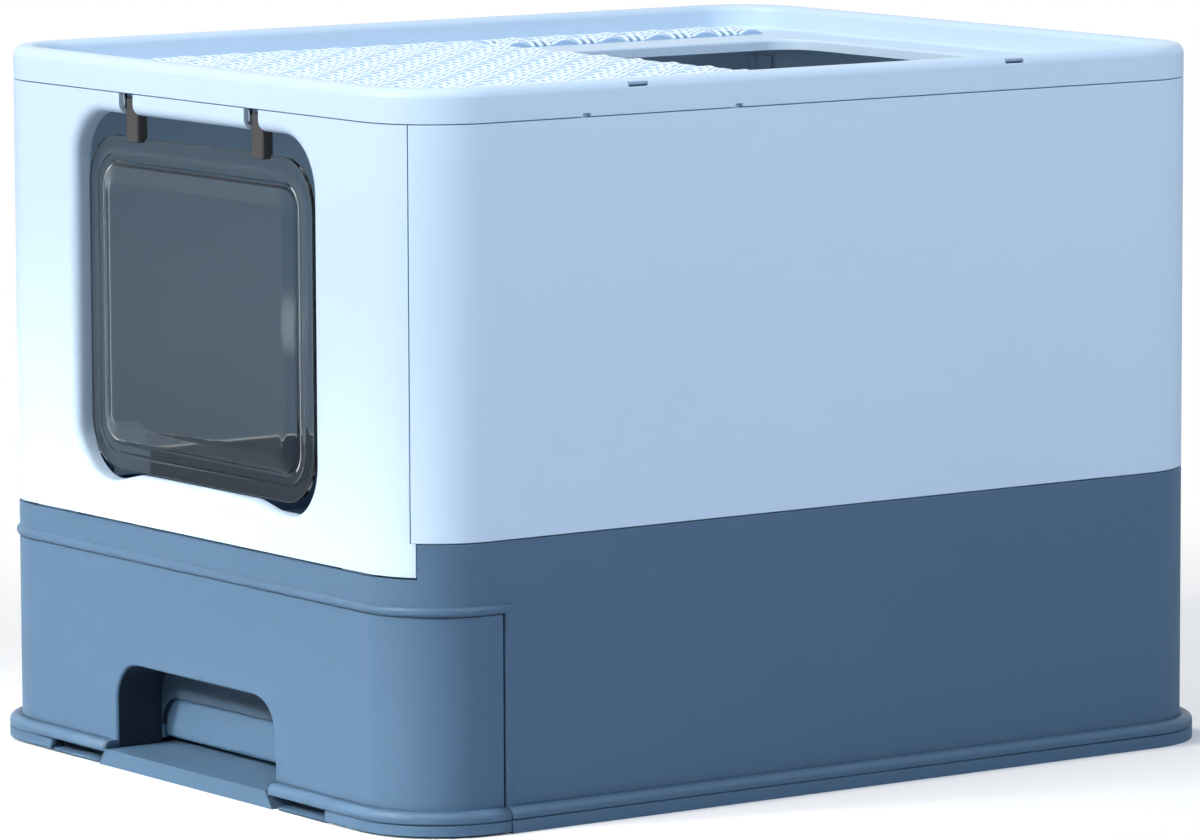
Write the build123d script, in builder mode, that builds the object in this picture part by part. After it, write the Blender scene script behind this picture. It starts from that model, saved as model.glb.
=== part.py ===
from build123d import *
from math import cos, degrees, radians, sin
import os

# Top-entry litter box: a base with a pull-out tray, four wall panels, a smoked door
# hung in the front panel and a lift-off lid with an entry hole and a slotted deck.
# Millimetres, +Z up, origin on the floor under the middle, door and drawer face -Y.

# Overall sizes, with the lid on and the drawer shut
box_length = 510.0
box_width = 410.0
box_height = 360.0
plinth_flange = 6.5
corner_radius = 43.0
wall = 2.6

# Heights of the base, up from the floor, and of the lid, down from its top
plinth_top = 12.4
plinth_groove_at = 6.2
base_floor_top = 8.5
drawer_top = 106.0
header_height = 18.4
side_step = 17.1
rim_height = 16.8
deck_recess = 13.0

# Running gaps and seams
seam_gap = 0.5
running_gap = 0.3
hair = 0.01
overrun = 20.0

# Corner seams, as angles round each corner from the end wall
seam_angle = 37.0
tab_angle = 41.0

# Plinth and drawer bead
plinth_groove = 0.7
plinth_groove_depth = 1.0
plinth_round = 3.4
bead_height = 4.6
bead_stand = 1.3
drawer_return = 7.9
base_edge_gap = 0.8

# Base floor, tongue under the handle and drawer guides
floor_thick = 2.8
front_skirt_set_back = 9.0
tongue_margin = 1.0
tongue_flare = 6.0
guide_height = 8.0
guide_thick = 3.0
guide_gap = 1.2
guide_front_set_back = 12.0
guide_rear_set_back = 30.0

# Drawer front, handle pocket and litter tray
drawer_front_foot = 1.0
handle_width = 148.0
handle_top = 53.0
handle_radius = 20.0
pocket_depth = 27.0
arch_top = 33.5
arch_radius = 16.0
toe_notch_inset = 33.0
tray_wall = 2.4
tray_front_gap = 5.0
tray_top_gap = 3.0
tray_under_gap = 2.5
tray_side_gap = 11.9
tray_rear_gap = 14.0
tray_radius = 38.0
tray_floor_bevel = 3.0
tray_lip = 5.0
tray_lip_thick = 2.6
skid_width = 8.0
skid_inset = 64.0
skid_end_set_back = 40.0
web_thick = 2.4
web_inset = 6.0

# Door opening, surround and sill
opening_side = 87.5
opening_sill = 20.6
opening_header = 10.7
opening_radius = 28.0
opening_round = 5.5
surround_wall = 6.5
surround_depth = 11.0
sill_rise = 5.0
sill_depth = 6.6
sill_end_gap = 5.0
sill_ramp = 23.0
sill_blend = 28.0
slot_width = 13.0
slot_inset = 53.0

# Door flap and its hinge
door_side_gap = 7.5
door_bottom_gap = 5.5
door_top_gap = 11.5
door_corner_ease = 2.0
door_skin = 2.4
door_set_back = 5.5
door_flange = 8.0
door_ledge = 6.0
door_step = 0.7
door_shoulder = 9.0
door_rise = 3.4
pane_radius = 8.0
hinge_drop = 5.7
hinge_set_back = 6.4
hinge_pin_radius = 2.2
hinge_pin_gap = 0.2
hinge_pin_reach = 4.5
hinge_bar_cover = 2.4
arm_width = 10.5
arm_front_set_back = 3.2
arm_depth = 6.6
arm_crown = 3.4
arm_lap = 2.5

# Wall panels: lap strips behind the corner seams, lid tongues and fold hinges
lap_thick = 2.0
lap_gap = 0.4
lap_inner_angle = 26.0
lap_outer_angle = 46.0
lap_end_gap = 3.0
tongue_rise = 8.0
tongue_root = 8.0
lug_width = 24.0
lug_depth = 10.0
lug_rise = 16.0
lug_drop = 11.5
lug_axis_drop = 7.0
lug_base_gap = 0.8
lug_round = 4.0
peg_radius = 3.0
peg_length = 5.0
peg_gap = 0.25
ear_thick = 3.0
ear_gap = 0.5
ear_margin = 3.0
end_lug_inset = 13.5
side_lug_inset = 37.5

# Lid: rolled rim, recessed deck, entry hole and collar
rim_width = 12.0
rim_outer_round = 5.0
rim_inner_round = 3.6
deck_thick = 2.5
entry_side = 80.5
entry_rear_gap = 30.5
entry_length = 166.0
entry_radius = 20.0
collar_drop = 5.8
collar_wall = 2.4
collar_bevel = 1.5
window_length = 12.0
window_height = 2.2
window_top_gap = 1.2
window_inset = 89.5
pry_length = 4.5
pry_height = 1.6
pry_set_back = 101.5
pry_spacing = 91.0

# Slotted grates that lie on the deck: a basket weave of cells, one slot to a cell
cell = 15.5
strip_columns = 2
slot_length_share = 0.68
slot_width_share = 0.3
grate_thick = 2.4
grate_border = 3.0
grate_ledge = 3.5
grate_corner_ease = 19.0
field_side_gap = 16.0
field_front_gap = 7.0
field_entry_gap = 6.0
strip_rear_gap = 26.0

# Sizes that follow from the ones above: the walls and their levels
half_width = box_width / 2 - plinth_flange
half_length = box_length / 2 - plinth_flange
base_end_top = drawer_top + header_height
base_side_top = base_end_top + side_step
lid_seam = box_height - rim_height
panel_top = lid_seam - seam_gap
deck_top = box_height - deck_recess
deck_bottom = deck_top - deck_thick
gap_angle = degrees(seam_gap / corner_radius)
end_lug_place = half_width - corner_radius - end_lug_inset
side_lug_place = half_length - corner_radius - side_lug_inset

# The drawer and its tray
drawer_edge = half_length - corner_radius - drawer_return
base_edge = drawer_edge - base_edge_gap
tongue_half = handle_width / 2 + tongue_margin
toe_notch_width = half_width - corner_radius - toe_notch_inset - tongue_half
tray_top = drawer_top - tray_top_gap
tray_floor_under = base_floor_top + tray_under_gap
tray_half_width = half_width - wall - tray_side_gap
tray_front = pocket_depth + wall + tray_front_gap - half_length
tray_rear = half_length - wall - tray_rear_gap
tray_length = tray_rear - tray_front
tray_middle = (tray_rear + tray_front) / 2
skid_half_spread = tray_half_width - skid_inset
web_half_spread = tray_half_width - tray_radius - web_inset

# The door and its opening
opening_half_width = half_width - opening_side
opening_width = 2 * opening_half_width
opening_bottom = base_end_top + opening_sill
opening_top = panel_top - opening_header
opening_height = opening_top - opening_bottom
opening_middle = (opening_top + opening_bottom) / 2
sill_foot_half = opening_half_width - opening_radius - sill_end_gap
sill_flat_half = sill_foot_half - sill_ramp
slot_half_spread = opening_half_width - slot_inset
hinge_height = panel_top - hinge_drop
hinge_y = hinge_set_back - half_length
door_half_width = opening_half_width - door_side_gap
door_bottom = opening_bottom + door_bottom_gap
door_top = opening_top - door_top_gap
door_radius = opening_radius - door_corner_ease
door_height = door_top - door_bottom
door_middle = (door_top + door_bottom) / 2
door_front = half_length - door_set_back
shoulder_inset = door_flange + door_ledge
pane_inset = shoulder_inset + door_shoulder
pane_stand = door_step + door_rise
hollow_inset = shoulder_inset - door_shoulder * door_step / door_rise

# The lid's entry hole, and as many whole cells of weave as its deck has room for
entry_half_width = half_width - rim_width - entry_side
entry_rear = half_length - rim_width - entry_rear_gap
entry_front = entry_rear - entry_length
window_place = half_length - corner_radius - window_inset
pry_first = pry_set_back - half_length
grate_radius = corner_radius - rim_width - grate_corner_ease
field_room = 2 * (half_width - rim_width - field_side_gap)
field_columns = int((field_room + hair) / cell)
field_half_width = field_columns * cell / 2
field_rear = entry_front - field_entry_gap
field_depth = field_rear + half_length - rim_width - field_front_gap
field_rows = int((field_depth + hair) / cell)
field_front = field_rear - field_rows * cell
field_middle_y = (field_front + field_rear) / 2
strip_front = field_rear + 2 * grate_border
strip_depth = half_length - rim_width - strip_rear_gap - strip_front
strip_rows = int((strip_depth + hair) / cell)
strip_middle_x = field_half_width - strip_columns * cell / 2
strip_middle_y = strip_front + strip_rows * cell / 2


def outline(inset):
    """Plan outline of the walls, moved inwards by an inset."""
    with BuildSketch() as plan:
        RectangleRounded(2 * (half_width - inset), 2 * (half_length - inset), corner_radius - inset)
    return plan.sketch


def band(inset, thickness):
    """Plan ring that follows the walls, of a thickness measured inwards from an inset."""
    with BuildSketch() as plan:
        add(outline(inset))
        add(outline(inset + thickness), mode=Mode.SUBTRACT)
    return plan.sketch


def end_region(side, angle):
    """Plan region of the front (side -1) or rear (side 1) wall, up to an angle round each corner."""
    corner_x = half_width - corner_radius
    corner_y = side * (half_length - corner_radius)
    reach = 2 * (corner_radius + plinth_flange)
    out_x = corner_x + reach * sin(radians(angle))
    out_y = corner_y + side * reach * cos(radians(angle))
    with BuildSketch() as plan:
        with BuildLine():
            Polyline((-corner_x, corner_y), (-out_x, out_y), (out_x, out_y), (corner_x, corner_y), close=True)
        make_face()
    return plan.sketch


def side_region(side, angle):
    """Plan region of one side wall (side 1 is +X), which leaves an angle of each corner to the ends."""
    with BuildSketch() as plan:
        with Locations((side * box_width / 2, 0)):
            Rectangle(box_width, 2 * box_length)
        add(end_region(-1, angle), mode=Mode.SUBTRACT)
        add(end_region(1, angle), mode=Mode.SUBTRACT)
    return plan.sketch


def ahead_of(place):
    """Plan region in front of a place along Y."""
    with BuildSketch() as plan:
        with Locations((0, place - box_length / 2)):
            Rectangle(2 * box_width, box_length)
    return plan.sketch


def raised(plan, low, high):
    """Solid with a plan sketch as its section between two heights."""
    with BuildPart() as block:
        with BuildSketch(Plane.XY.offset(low)):
            add(plan)
        extrude(amount=high - low)
    return block.part


def cut_to(plan, region):
    """Part of a plan sketch that lies inside a region."""
    with BuildSketch() as kept:
        add(plan)
        add(region, mode=Mode.INTERSECT)
    return kept.sketch


def cut_off(plan, region):
    """Part of a plan sketch that lies outside a region."""
    with BuildSketch() as kept:
        add(plan)
        add(region, mode=Mode.SUBTRACT)
    return kept.sketch


def plinth():
    """Plinth all round the box: a foot band, a shadow groove and a rounded upper band."""
    with BuildPart() as bands:
        add(raised(band(-plinth_flange, plinth_flange), 0, plinth_groove_at))
        groove_top = plinth_groove_at + plinth_groove
        groove_width = plinth_flange - plinth_groove_depth
        add(raised(band(-groove_width, groove_width), plinth_groove_at, groove_top))
        add(raised(band(-plinth_flange, plinth_flange), groove_top, plinth_top))
        shoulder = bands.faces().sort_by(Axis.Z)[-1].outer_wire()
        fillet(shoulder.edges(), plinth_round)
    return bands.part


def handle_outline(width, top, radius):
    """Front view of the handle cut-out: open at the floor, with rounded upper corners."""
    with BuildSketch(Plane.XZ) as arch:
        with Locations((0, top / 2)):
            Rectangle(width, top)
        fillet(arch.vertices().group_by(Axis.Y)[-1], radius)
    return arch.sketch


def hinge_lugs(reach, place, seat):
    """Pair of fold-hinge lugs on a front-facing panel at a reach, that sits on a seat height."""
    inner = wall - reach
    with BuildPart() as lug:
        with BuildSketch(Plane.YZ.offset(place - lug_width / 2)) as profile:
            with BuildLine():
                Polyline(
                    (inner - hair, seat + seam_gap),
                    (inner - hair, seat + lug_rise),
                    (inner + lug_depth, seat + seam_gap),
                    (inner + lug_depth, seat - lug_drop),
                    (inner + lug_base_gap, seat - lug_drop),
                    (inner + lug_base_gap, seat + seam_gap),
                    close=True,
                )
            make_face()
            fillet(profile.vertices().group_by(Axis.Y)[0], lug_round)
        extrude(amount=lug_width)
        peg_y = inner + (lug_depth + lug_base_gap) / 2
        with BuildSketch(Plane.YZ.offset(place + lug_width / 2)):
            with Locations((peg_y, seat - lug_axis_drop)):
                Circle(peg_radius)
        extrude(amount=peg_length)
        mirror(about=Plane.YZ)
    return lug.part


def hinge_ears(reach, place, seat):
    """Pair of ears on the base that hold the pegs of a panel's fold-hinge lugs."""
    inner = wall - reach
    axis_z = seat - lug_axis_drop
    peg_y = inner + (lug_depth + lug_base_gap) / 2
    ear_radius = peg_radius + peg_gap + ear_margin
    with BuildPart() as ear:
        with BuildSketch(Plane.YZ.offset(place + lug_width / 2 + ear_gap)):
            with Locations(((inner - hair + peg_y) / 2, axis_z)):
                Rectangle(peg_y - inner + hair, 2 * ear_radius)
            with Locations((peg_y, axis_z)):
                Circle(ear_radius)
                Circle(peg_radius + peg_gap, mode=Mode.SUBTRACT)
        extrude(amount=ear_thick)
        mirror(about=Plane.YZ)
    return ear.part


end_lugs = hinge_lugs(half_length, end_lug_place, base_end_top)
side_lugs = hinge_lugs(half_width, side_lug_place, base_side_top)
end_ears = hinge_ears(half_length, end_lug_place, base_end_top)
side_ears = hinge_ears(half_width, side_lug_place, base_side_top)

# Base frame: walls, plinth, drawer doorway with its bead, and the ears for the panels
with BuildPart() as base_frame:
    add(raised(band(0, wall), 0, base_side_top))
    add(plinth())
    bead_top = drawer_top + seam_gap + bead_height
    bead_plan = band(-bead_stand, bead_stand + wall)
    bead_post_front = -base_edge
    bead_post_rear = bead_height - base_edge
    add(raised(cut_to(bead_plan, ahead_of(bead_post_rear)), drawer_top + seam_gap, bead_top))
    post_plan = cut_off(cut_to(bead_plan, ahead_of(bead_post_rear)), ahead_of(bead_post_front))
    add(raised(post_plan, plinth_top, bead_top))
    for side in (-1, 1):
        notch = end_region(side, tab_angle + gap_angle)
        add(raised(notch, base_end_top, base_side_top + overrun), mode=Mode.SUBTRACT)
    add(raised(ahead_of(-base_edge), -overrun, drawer_top + seam_gap), mode=Mode.SUBTRACT)
    with Locations(Location((0, 0, 0)), Location((0, 0, 0), (0, 0, 180))):
        add(end_ears)
    with Locations(Location((0, 0, 0), (0, 0, 90)), Location((0, 0, 0), (0, 0, -90))):
        add(side_ears)

# Base floor: deck for the tray, front skirt, tongue under the handle and drawer guides
floor_front = front_skirt_set_back - half_length
with BuildPart() as base_floor:
    rear_plan = cut_off(outline(wall), ahead_of(-base_edge))
    add(raised(rear_plan, base_floor_top - floor_thick, base_floor_top))
    doorway_plan = cut_to(outline(wall + running_gap), ahead_of(-base_edge))
    sill_plan = cut_off(doorway_plan, ahead_of(floor_front))
    add(raised(sill_plan, base_floor_top - floor_thick, base_floor_top))
    skirt_plan = cut_to(sill_plan, ahead_of(floor_front + floor_thick))
    add(raised(skirt_plan, 0, base_floor_top))
    tongue_front = -box_length / 2
    with BuildSketch(Plane.XZ.offset(-floor_front)):
        with BuildLine():
            Polyline(
                (-tongue_half, base_floor_top),
                (tongue_half, base_floor_top),
                (tongue_half + tongue_flare, 0),
                (-tongue_half - tongue_flare, 0),
                close=True,
            )
        make_face()
    extrude(amount=floor_front - tongue_front)
    hollow_half = tongue_half - floor_thick
    with BuildSketch(Plane.XZ.offset(-floor_front)):
        with Locations((0, (base_floor_top - floor_thick) / 2)):
            Rectangle(2 * hollow_half, base_floor_top - floor_thick)
    extrude(amount=floor_front - tongue_front - floor_thick, mode=Mode.SUBTRACT)
    guide_front = guide_front_set_back - base_edge
    guide_rear = half_length - guide_rear_set_back
    guide_x = tray_half_width + guide_gap + guide_thick / 2
    with BuildSketch(Plane.XY.offset(base_floor_top)):
        with Locations((-guide_x, (guide_front + guide_rear) / 2), (guide_x, (guide_front + guide_rear) / 2)):
            Rectangle(guide_thick, guide_rear - guide_front)
    extrude(amount=guide_height)

# Drawer front: skin that wraps both front corners, plinth bands, handle and its pocket
with BuildPart() as drawer_front:
    front_plan = ahead_of(-drawer_edge)
    add(raised(cut_to(band(0, wall), front_plan), drawer_front_foot, drawer_top))
    add(plinth())
    add(raised(cut_off(outline(-overrun), front_plan), -overrun, plinth_top + hair), mode=Mode.SUBTRACT)
    add(raised(outline(-overrun), -overrun, drawer_front_foot), mode=Mode.SUBTRACT)
    toe_notch_middle = tongue_half + toe_notch_width / 2
    with BuildSketch(Plane.XZ.offset(half_length + overrun)):
        with Locations((-toe_notch_middle, 0), (toe_notch_middle, 0)):
            Rectangle(toe_notch_width + 2 * tongue_flare, 2 * plinth_groove_at)
    extrude(amount=-overrun - 2 * wall, mode=Mode.SUBTRACT)
    pocket_back = half_length - pocket_depth
    with BuildSketch(Plane.XZ.offset(pocket_back - wall)):
        add(handle_outline(handle_width + 2 * wall, handle_top + wall, handle_radius + wall))
    extrude(amount=pocket_depth + wall / 2)
    with BuildSketch(Plane.XZ.offset(pocket_back)):
        add(handle_outline(handle_width, handle_top, handle_radius))
    extrude(amount=pocket_depth + overrun, mode=Mode.SUBTRACT)
    with BuildSketch(Plane.XZ.offset(pocket_back - wall)):
        add(handle_outline(handle_width, arch_top, arch_radius))
    extrude(amount=2 * wall, mode=Mode.SUBTRACT)
    pocket_foot = base_floor_top + running_gap
    pocket_plan = cut_off(cut_to(outline(wall), front_plan), ahead_of(wall + floor_thick - half_length))
    add(raised(pocket_plan, -overrun, pocket_foot), mode=Mode.SUBTRACT)
    with BuildSketch(Plane.XZ.offset(half_length + overrun)):
        Rectangle(2 * (tongue_half + tongue_flare + seam_gap), 2 * pocket_foot)
    extrude(amount=-overrun - pocket_depth, mode=Mode.SUBTRACT)

# Litter tray: a pan with a turned-out lip, skids below, and webs that carry the drawer front
with BuildPart() as litter_tray:
    with BuildSketch(Plane.XY.offset(tray_floor_under)):
        with Locations((0, tray_middle)):
            RectangleRounded(2 * tray_half_width, tray_length, tray_radius)
    extrude(amount=tray_top - tray_floor_under)
    chamfer(litter_tray.faces().sort_by(Axis.Z)[0].edges(), tray_floor_bevel)
    with BuildSketch(Plane.XY.offset(tray_top - tray_lip_thick)):
        with Locations((0, tray_middle)):
            RectangleRounded(
                2 * (tray_half_width + tray_lip), tray_length + 2 * tray_lip, tray_radius + tray_lip
            )
    extrude(amount=tray_lip_thick)
    with BuildSketch(Plane.XY.offset(tray_floor_under + tray_wall)):
        with Locations((0, tray_middle)):
            RectangleRounded(
                2 * (tray_half_width - tray_wall), tray_length - 2 * tray_wall, tray_radius - tray_wall
            )
    extrude(amount=tray_top, mode=Mode.SUBTRACT)
    skid_top = tray_floor_under + tray_wall / 2
    skid_bottom = base_floor_top + running_gap
    with BuildSketch(Plane.XY.offset(skid_bottom)):
        with Locations((-skid_half_spread, tray_middle), (skid_half_spread, tray_middle)):
            RectangleRounded(skid_width, tray_length - 2 * skid_end_set_back, skid_width / 2 - hair)
    extrude(amount=skid_top - skid_bottom)
    web_front = wall - half_length
    web_rear = tray_front + tray_wall / 2
    web_middle = (web_front + web_rear) / 2
    pocket_rear = wall + pocket_depth - half_length
    pocket_web_middle = (pocket_rear + web_rear) / 2
    pocket_web_x = (handle_width + wall) / 2
    with BuildSketch(Plane.XY.offset(tray_floor_under)):
        with Locations((-web_half_spread, web_middle), (web_half_spread, web_middle)):
            Rectangle(web_thick, web_rear - web_front)
        with Locations((-pocket_web_x, pocket_web_middle), (pocket_web_x, pocket_web_middle)):
            Rectangle(wall, web_rear - pocket_rear)
    extrude(amount=tray_top - tray_lip_thick - tray_floor_under)

# Door opening in the front view, with a sill that rises between its two lower corners
with BuildSketch(Plane.XZ) as door_opening:
    with Locations((0, opening_middle)):
        RectangleRounded(opening_width, opening_height, opening_radius)
    sill_top = opening_bottom + sill_rise
    with BuildLine():
        Polyline(
            (-sill_foot_half, opening_bottom),
            (-sill_flat_half, sill_top),
            (sill_flat_half, sill_top),
            (sill_foot_half, opening_bottom),
            (sill_foot_half, opening_bottom - overrun),
            (-sill_foot_half, opening_bottom - overrun),
            close=True,
        )
    make_face(mode=Mode.SUBTRACT)
    ramp_ends = door_opening.vertices().filter_by(lambda v: abs(v.X) < sill_foot_half + hair)
    fillet(ramp_ends.filter_by(lambda v: v.Y < opening_middle), sill_blend)


def panel_shell(plan_upper, plan_lower):
    """Wall panel over its seat: the skin, its lower tab and the tongue that enters the lid's rim."""
    with BuildPart() as shell:
        add(raised(cut_to(band(0, wall), plan_upper), base_side_top + seam_gap, panel_top))
        if plan_lower is not None:
            tab_low = base_end_top + seam_gap
            add(raised(cut_to(band(0, wall), plan_lower), tab_low, base_side_top + seam_gap))
        root_plan = cut_to(band(wall, lap_gap + lap_thick), plan_upper)
        add(raised(root_plan, panel_top - tongue_root, panel_top))
        tongue_plan = cut_to(band(wall + lap_gap, lap_thick), plan_upper)
        add(raised(tongue_plan, panel_top, panel_top + tongue_rise))
    return shell.part


# Front panel: door opening with a rounded, turned-in surround, hinge slots and pin seats
front_upper = end_region(-1, seam_angle)
front_lower = end_region(-1, tab_angle)
bar_top = hinge_height + hinge_pin_radius + hinge_bar_cover
with BuildPart() as front_panel:
    add(panel_shell(front_upper, front_lower))
    surround_bottom = opening_bottom - surround_wall
    with BuildSketch(Plane.XZ.offset(half_length)):
        with Locations((0, (bar_top + surround_bottom) / 2)):
            RectangleRounded(
                opening_width + 2 * surround_wall, bar_top - surround_bottom, opening_radius + surround_wall
            )
    extrude(amount=-surround_depth)
    with BuildSketch(Plane.XZ.offset(half_length)):
        add(door_opening.sketch_local)
    extrude(amount=-sill_depth, mode=Mode.SUBTRACT)
    with BuildSketch(Plane.XZ.offset(half_length - sill_depth)):
        with Locations((0, opening_middle)):
            RectangleRounded(opening_width, opening_height, opening_radius)
    extrude(amount=-surround_depth, mode=Mode.SUBTRACT)
    front_face = front_panel.faces().filter_by(Axis.Y).sort_by(Axis.Y)[0]
    fillet(front_face.inner_wires()[0].edges(), opening_round)
    slot_middle = (opening_middle + panel_top) / 2
    with BuildSketch(Plane.XZ.offset(half_length + overrun)):
        with Locations((-slot_half_spread, slot_middle), (slot_half_spread, slot_middle)):
            Rectangle(slot_width, panel_top - opening_middle)
    extrude(amount=-overrun - surround_depth - overrun, mode=Mode.SUBTRACT)
    seat_radius = hinge_pin_radius + hinge_pin_gap
    seat_half_length = arm_width / 2 + hinge_pin_reach + 2 * running_gap
    seat_rear = surround_depth + overrun - half_length
    for place in (-slot_half_spread, slot_half_spread):
        with BuildSketch(Plane.YZ.offset(place - seat_half_length)):
            with Locations((hinge_y, hinge_height)):
                Circle(seat_radius)
            with Locations(((hinge_y - seat_radius + seat_rear) / 2, (hinge_height + panel_top) / 2)):
                Rectangle(seat_rear - hinge_y + seat_radius, panel_top - hinge_height)
        extrude(amount=2 * seat_half_length, mode=Mode.SUBTRACT)
    add(end_lugs)

# Rear panel: plain skin that folds on the same kind of lugs
with BuildPart() as rear_panel:
    add(panel_shell(end_region(1, seam_angle), end_region(1, tab_angle)))
    with Locations(Location((0, 0, 0), (0, 0, 180))):
        add(end_lugs)


def side_panel(side):
    """One side wall with the strips that lap behind the front and rear panels' edges."""
    own = side_region(side, seam_angle + gap_angle)
    behind = cut_off(side_region(side, lap_inner_angle), side_region(side, lap_outer_angle))
    seated = cut_off(own, side_region(side, lap_outer_angle))
    with BuildPart() as panel:
        add(panel_shell(own, None))
        low = base_side_top + lap_end_gap
        high = panel_top - tongue_root - lap_end_gap
        add(raised(cut_to(band(wall, lap_gap + lap_thick), seated), low, high))
        add(raised(cut_to(band(wall + lap_gap, lap_thick), behind), low, high))
        with Locations(Location((0, 0, 0), (0, 0, side * 90))):
            add(side_lugs)
    return panel.part


with BuildPart() as left_panel:
    add(side_panel(-1))

with BuildPart() as right_panel:
    add(side_panel(1))


def door_outline(inset):
    """Front view of the door, drawn in by an inset."""
    with BuildSketch() as sheet:
        with Locations((0, door_middle)):
            RectangleRounded(
                2 * (door_half_width - inset),
                door_height - 2 * inset,
                max(door_radius - inset, pane_radius),
            )
    return sheet.sketch


# Door flap: flange, raised step, sloped shoulder up to a flat pane, hinge arms and their pins
with BuildPart() as door_flap:
    for inset, stand in ((0, 0), (door_flange, door_step)):
        with BuildSketch(Plane.XZ.offset(door_front - door_skin)):
            add(door_outline(inset))
        extrude(amount=door_skin + stand)
    for inset, stand in ((shoulder_inset, door_step), (pane_inset, pane_stand)):
        with BuildSketch(Plane.XZ.offset(door_front + stand)):
            add(door_outline(inset))
    loft(ruled=True)
    for inset, stand in ((hollow_inset, 0), (pane_inset, pane_stand)):
        with BuildSketch(Plane.XZ.offset(door_front - door_skin + stand)):
            add(door_outline(inset))
    loft(ruled=True, mode=Mode.SUBTRACT)
    arm_top = hinge_height + arm_crown
    arm_foot = door_top - arm_lap
    arm_mid_y = arm_front_set_back + arm_depth / 2 - half_length
    with BuildSketch(Plane.YZ.offset(slot_half_spread - arm_width / 2)) as arm_side:
        with Locations((arm_mid_y, (arm_top + arm_foot) / 2)):
            Rectangle(arm_depth, arm_top - arm_foot)
        fillet(arm_side.vertices().group_by(Axis.Y)[-1], arm_crown - running_gap)
    extrude(amount=arm_width)
    with BuildSketch(Plane.YZ.offset(slot_half_spread - arm_width / 2 - hinge_pin_reach)):
        with Locations((hinge_y, hinge_height)):
            Circle(hinge_pin_radius)
    extrude(amount=arm_width + 2 * hinge_pin_reach)
    mirror(about=Plane.YZ)

# Lid cover: hollow rolled rim over the panels, recessed deck, entry hole with its collar
entry_middle = (entry_front + entry_rear) / 2
with BuildPart() as lid_cover:
    add(raised(band(0, rim_width), lid_seam, box_height))
    rim_top = lid_cover.faces().sort_by(Axis.Z)[-1]
    outer_edges = rim_top.outer_wire().edges()
    inner_edges = rim_top.inner_wires()[0].edges()
    fillet(outer_edges, rim_outer_round)
    fillet(inner_edges, rim_inner_round)
    add(raised(band(wall, rim_width - 2 * wall), lid_seam - overrun, box_height - wall), mode=Mode.SUBTRACT)
    add(raised(outline(rim_width - wall), deck_bottom, deck_top))
    add(raised(outline(rim_width - wall), lid_seam - overrun, deck_bottom), mode=Mode.SUBTRACT)
    with BuildSketch(Plane.XY.offset(deck_top - collar_drop)):
        with Locations((0, entry_middle)):
            RectangleRounded(
                2 * (entry_half_width + collar_wall),
                entry_length + 2 * collar_wall,
                entry_radius + collar_wall,
            )
    extrude(amount=collar_drop)
    with BuildSketch(Plane.XY.offset(deck_top - collar_drop)):
        with Locations((0, entry_middle)):
            RectangleRounded(2 * entry_half_width, entry_length, entry_radius)
    extrude(amount=collar_drop, mode=Mode.SUBTRACT)
    deck_faces = lid_cover.faces().filter_by(lambda face: abs(face.center().Z - deck_top) < hair)
    chamfer(deck_faces.sort_by(SortBy.AREA)[-1].inner_wires()[0].edges(), collar_bevel)
    with BuildSketch(Plane.XY.offset(deck_bottom)):
        with Locations((0, field_middle_y)):
            Rectangle(2 * (field_half_width - grate_ledge), field_rows * cell - 2 * grate_ledge)
        with Locations((-strip_middle_x, strip_middle_y), (strip_middle_x, strip_middle_y)):
            Rectangle(strip_columns * cell - 2 * grate_ledge, strip_rows * cell - 2 * grate_ledge)
    extrude(amount=deck_thick, mode=Mode.SUBTRACT)
    window_z = box_height - window_top_gap - window_height / 2
    with BuildSketch(Plane.YZ.offset(half_width - rim_outer_round)):
        with Locations((-window_place, window_z), (window_place, window_z)):
            Rectangle(window_length, window_height)
    extrude(amount=overrun, mode=Mode.SUBTRACT)
    with BuildSketch(Plane.YZ.offset(half_width - wall)):
        with Locations((pry_first, lid_seam), (pry_first + pry_spacing, lid_seam)):
            Rectangle(pry_length, 2 * pry_height)
    extrude(amount=overrun, mode=Mode.SUBTRACT)


def grate(columns, rows, middle_x, middle_y):
    """Flat grate whose cells each have one slot, turned by a quarter from cell to cell."""
    length = cell * slot_length_share
    width = cell * slot_width_share
    first_x = middle_x - (columns - 1) * cell / 2
    first_y = middle_y - (rows - 1) * cell / 2
    places = {0: [], 1: []}
    for column in range(columns):
        for row in range(rows):
            places[(column + row) % 2].append((first_x + column * cell, first_y + row * cell))
    with BuildPart() as plate:
        with BuildSketch(Plane.XY.offset(deck_top)):
            with Locations((middle_x, middle_y)):
                RectangleRounded(
                    columns * cell + 2 * grate_border, rows * cell + 2 * grate_border, grate_radius
                )
            with Locations(*places[0]):
                Rectangle(length, width, mode=Mode.SUBTRACT)
            with Locations(*places[1]):
                Rectangle(width, length, mode=Mode.SUBTRACT)
        extrude(amount=grate_thick)
    return plate.part


with BuildPart() as front_grate:
    add(grate(field_columns, field_rows, 0, field_middle_y))

with BuildPart() as left_grate:
    add(grate(strip_columns, strip_rows, -strip_middle_x, strip_middle_y))

with BuildPart() as right_grate:
    add(grate(strip_columns, strip_rows, strip_middle_x, strip_middle_y))

# One file for each piece
os.makedirs("parts", exist_ok=True)
pieces = {
    "base_frame": base_frame,
    "base_floor": base_floor,
    "drawer_front": drawer_front,
    "litter_tray": litter_tray,
    "front_panel": front_panel,
    "rear_panel": rear_panel,
    "left_panel": left_panel,
    "right_panel": right_panel,
    "door_flap": door_flap,
    "lid_cover": lid_cover,
    "front_grate": front_grate,
    "left_grate": left_grate,
    "right_grate": right_grate,
}
for name, piece in pieces.items():
    piece.part.label = name
    export_step(piece.part, f"parts/{name}.step")
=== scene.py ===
"""Top-entry litter box, dressed for a studio picture.

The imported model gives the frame. Each sub-assembly below draws the meshes that stand for
its nodes, in metres, with +Z up and the door and drawer facing -Y.
"""

from __future__ import annotations

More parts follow.
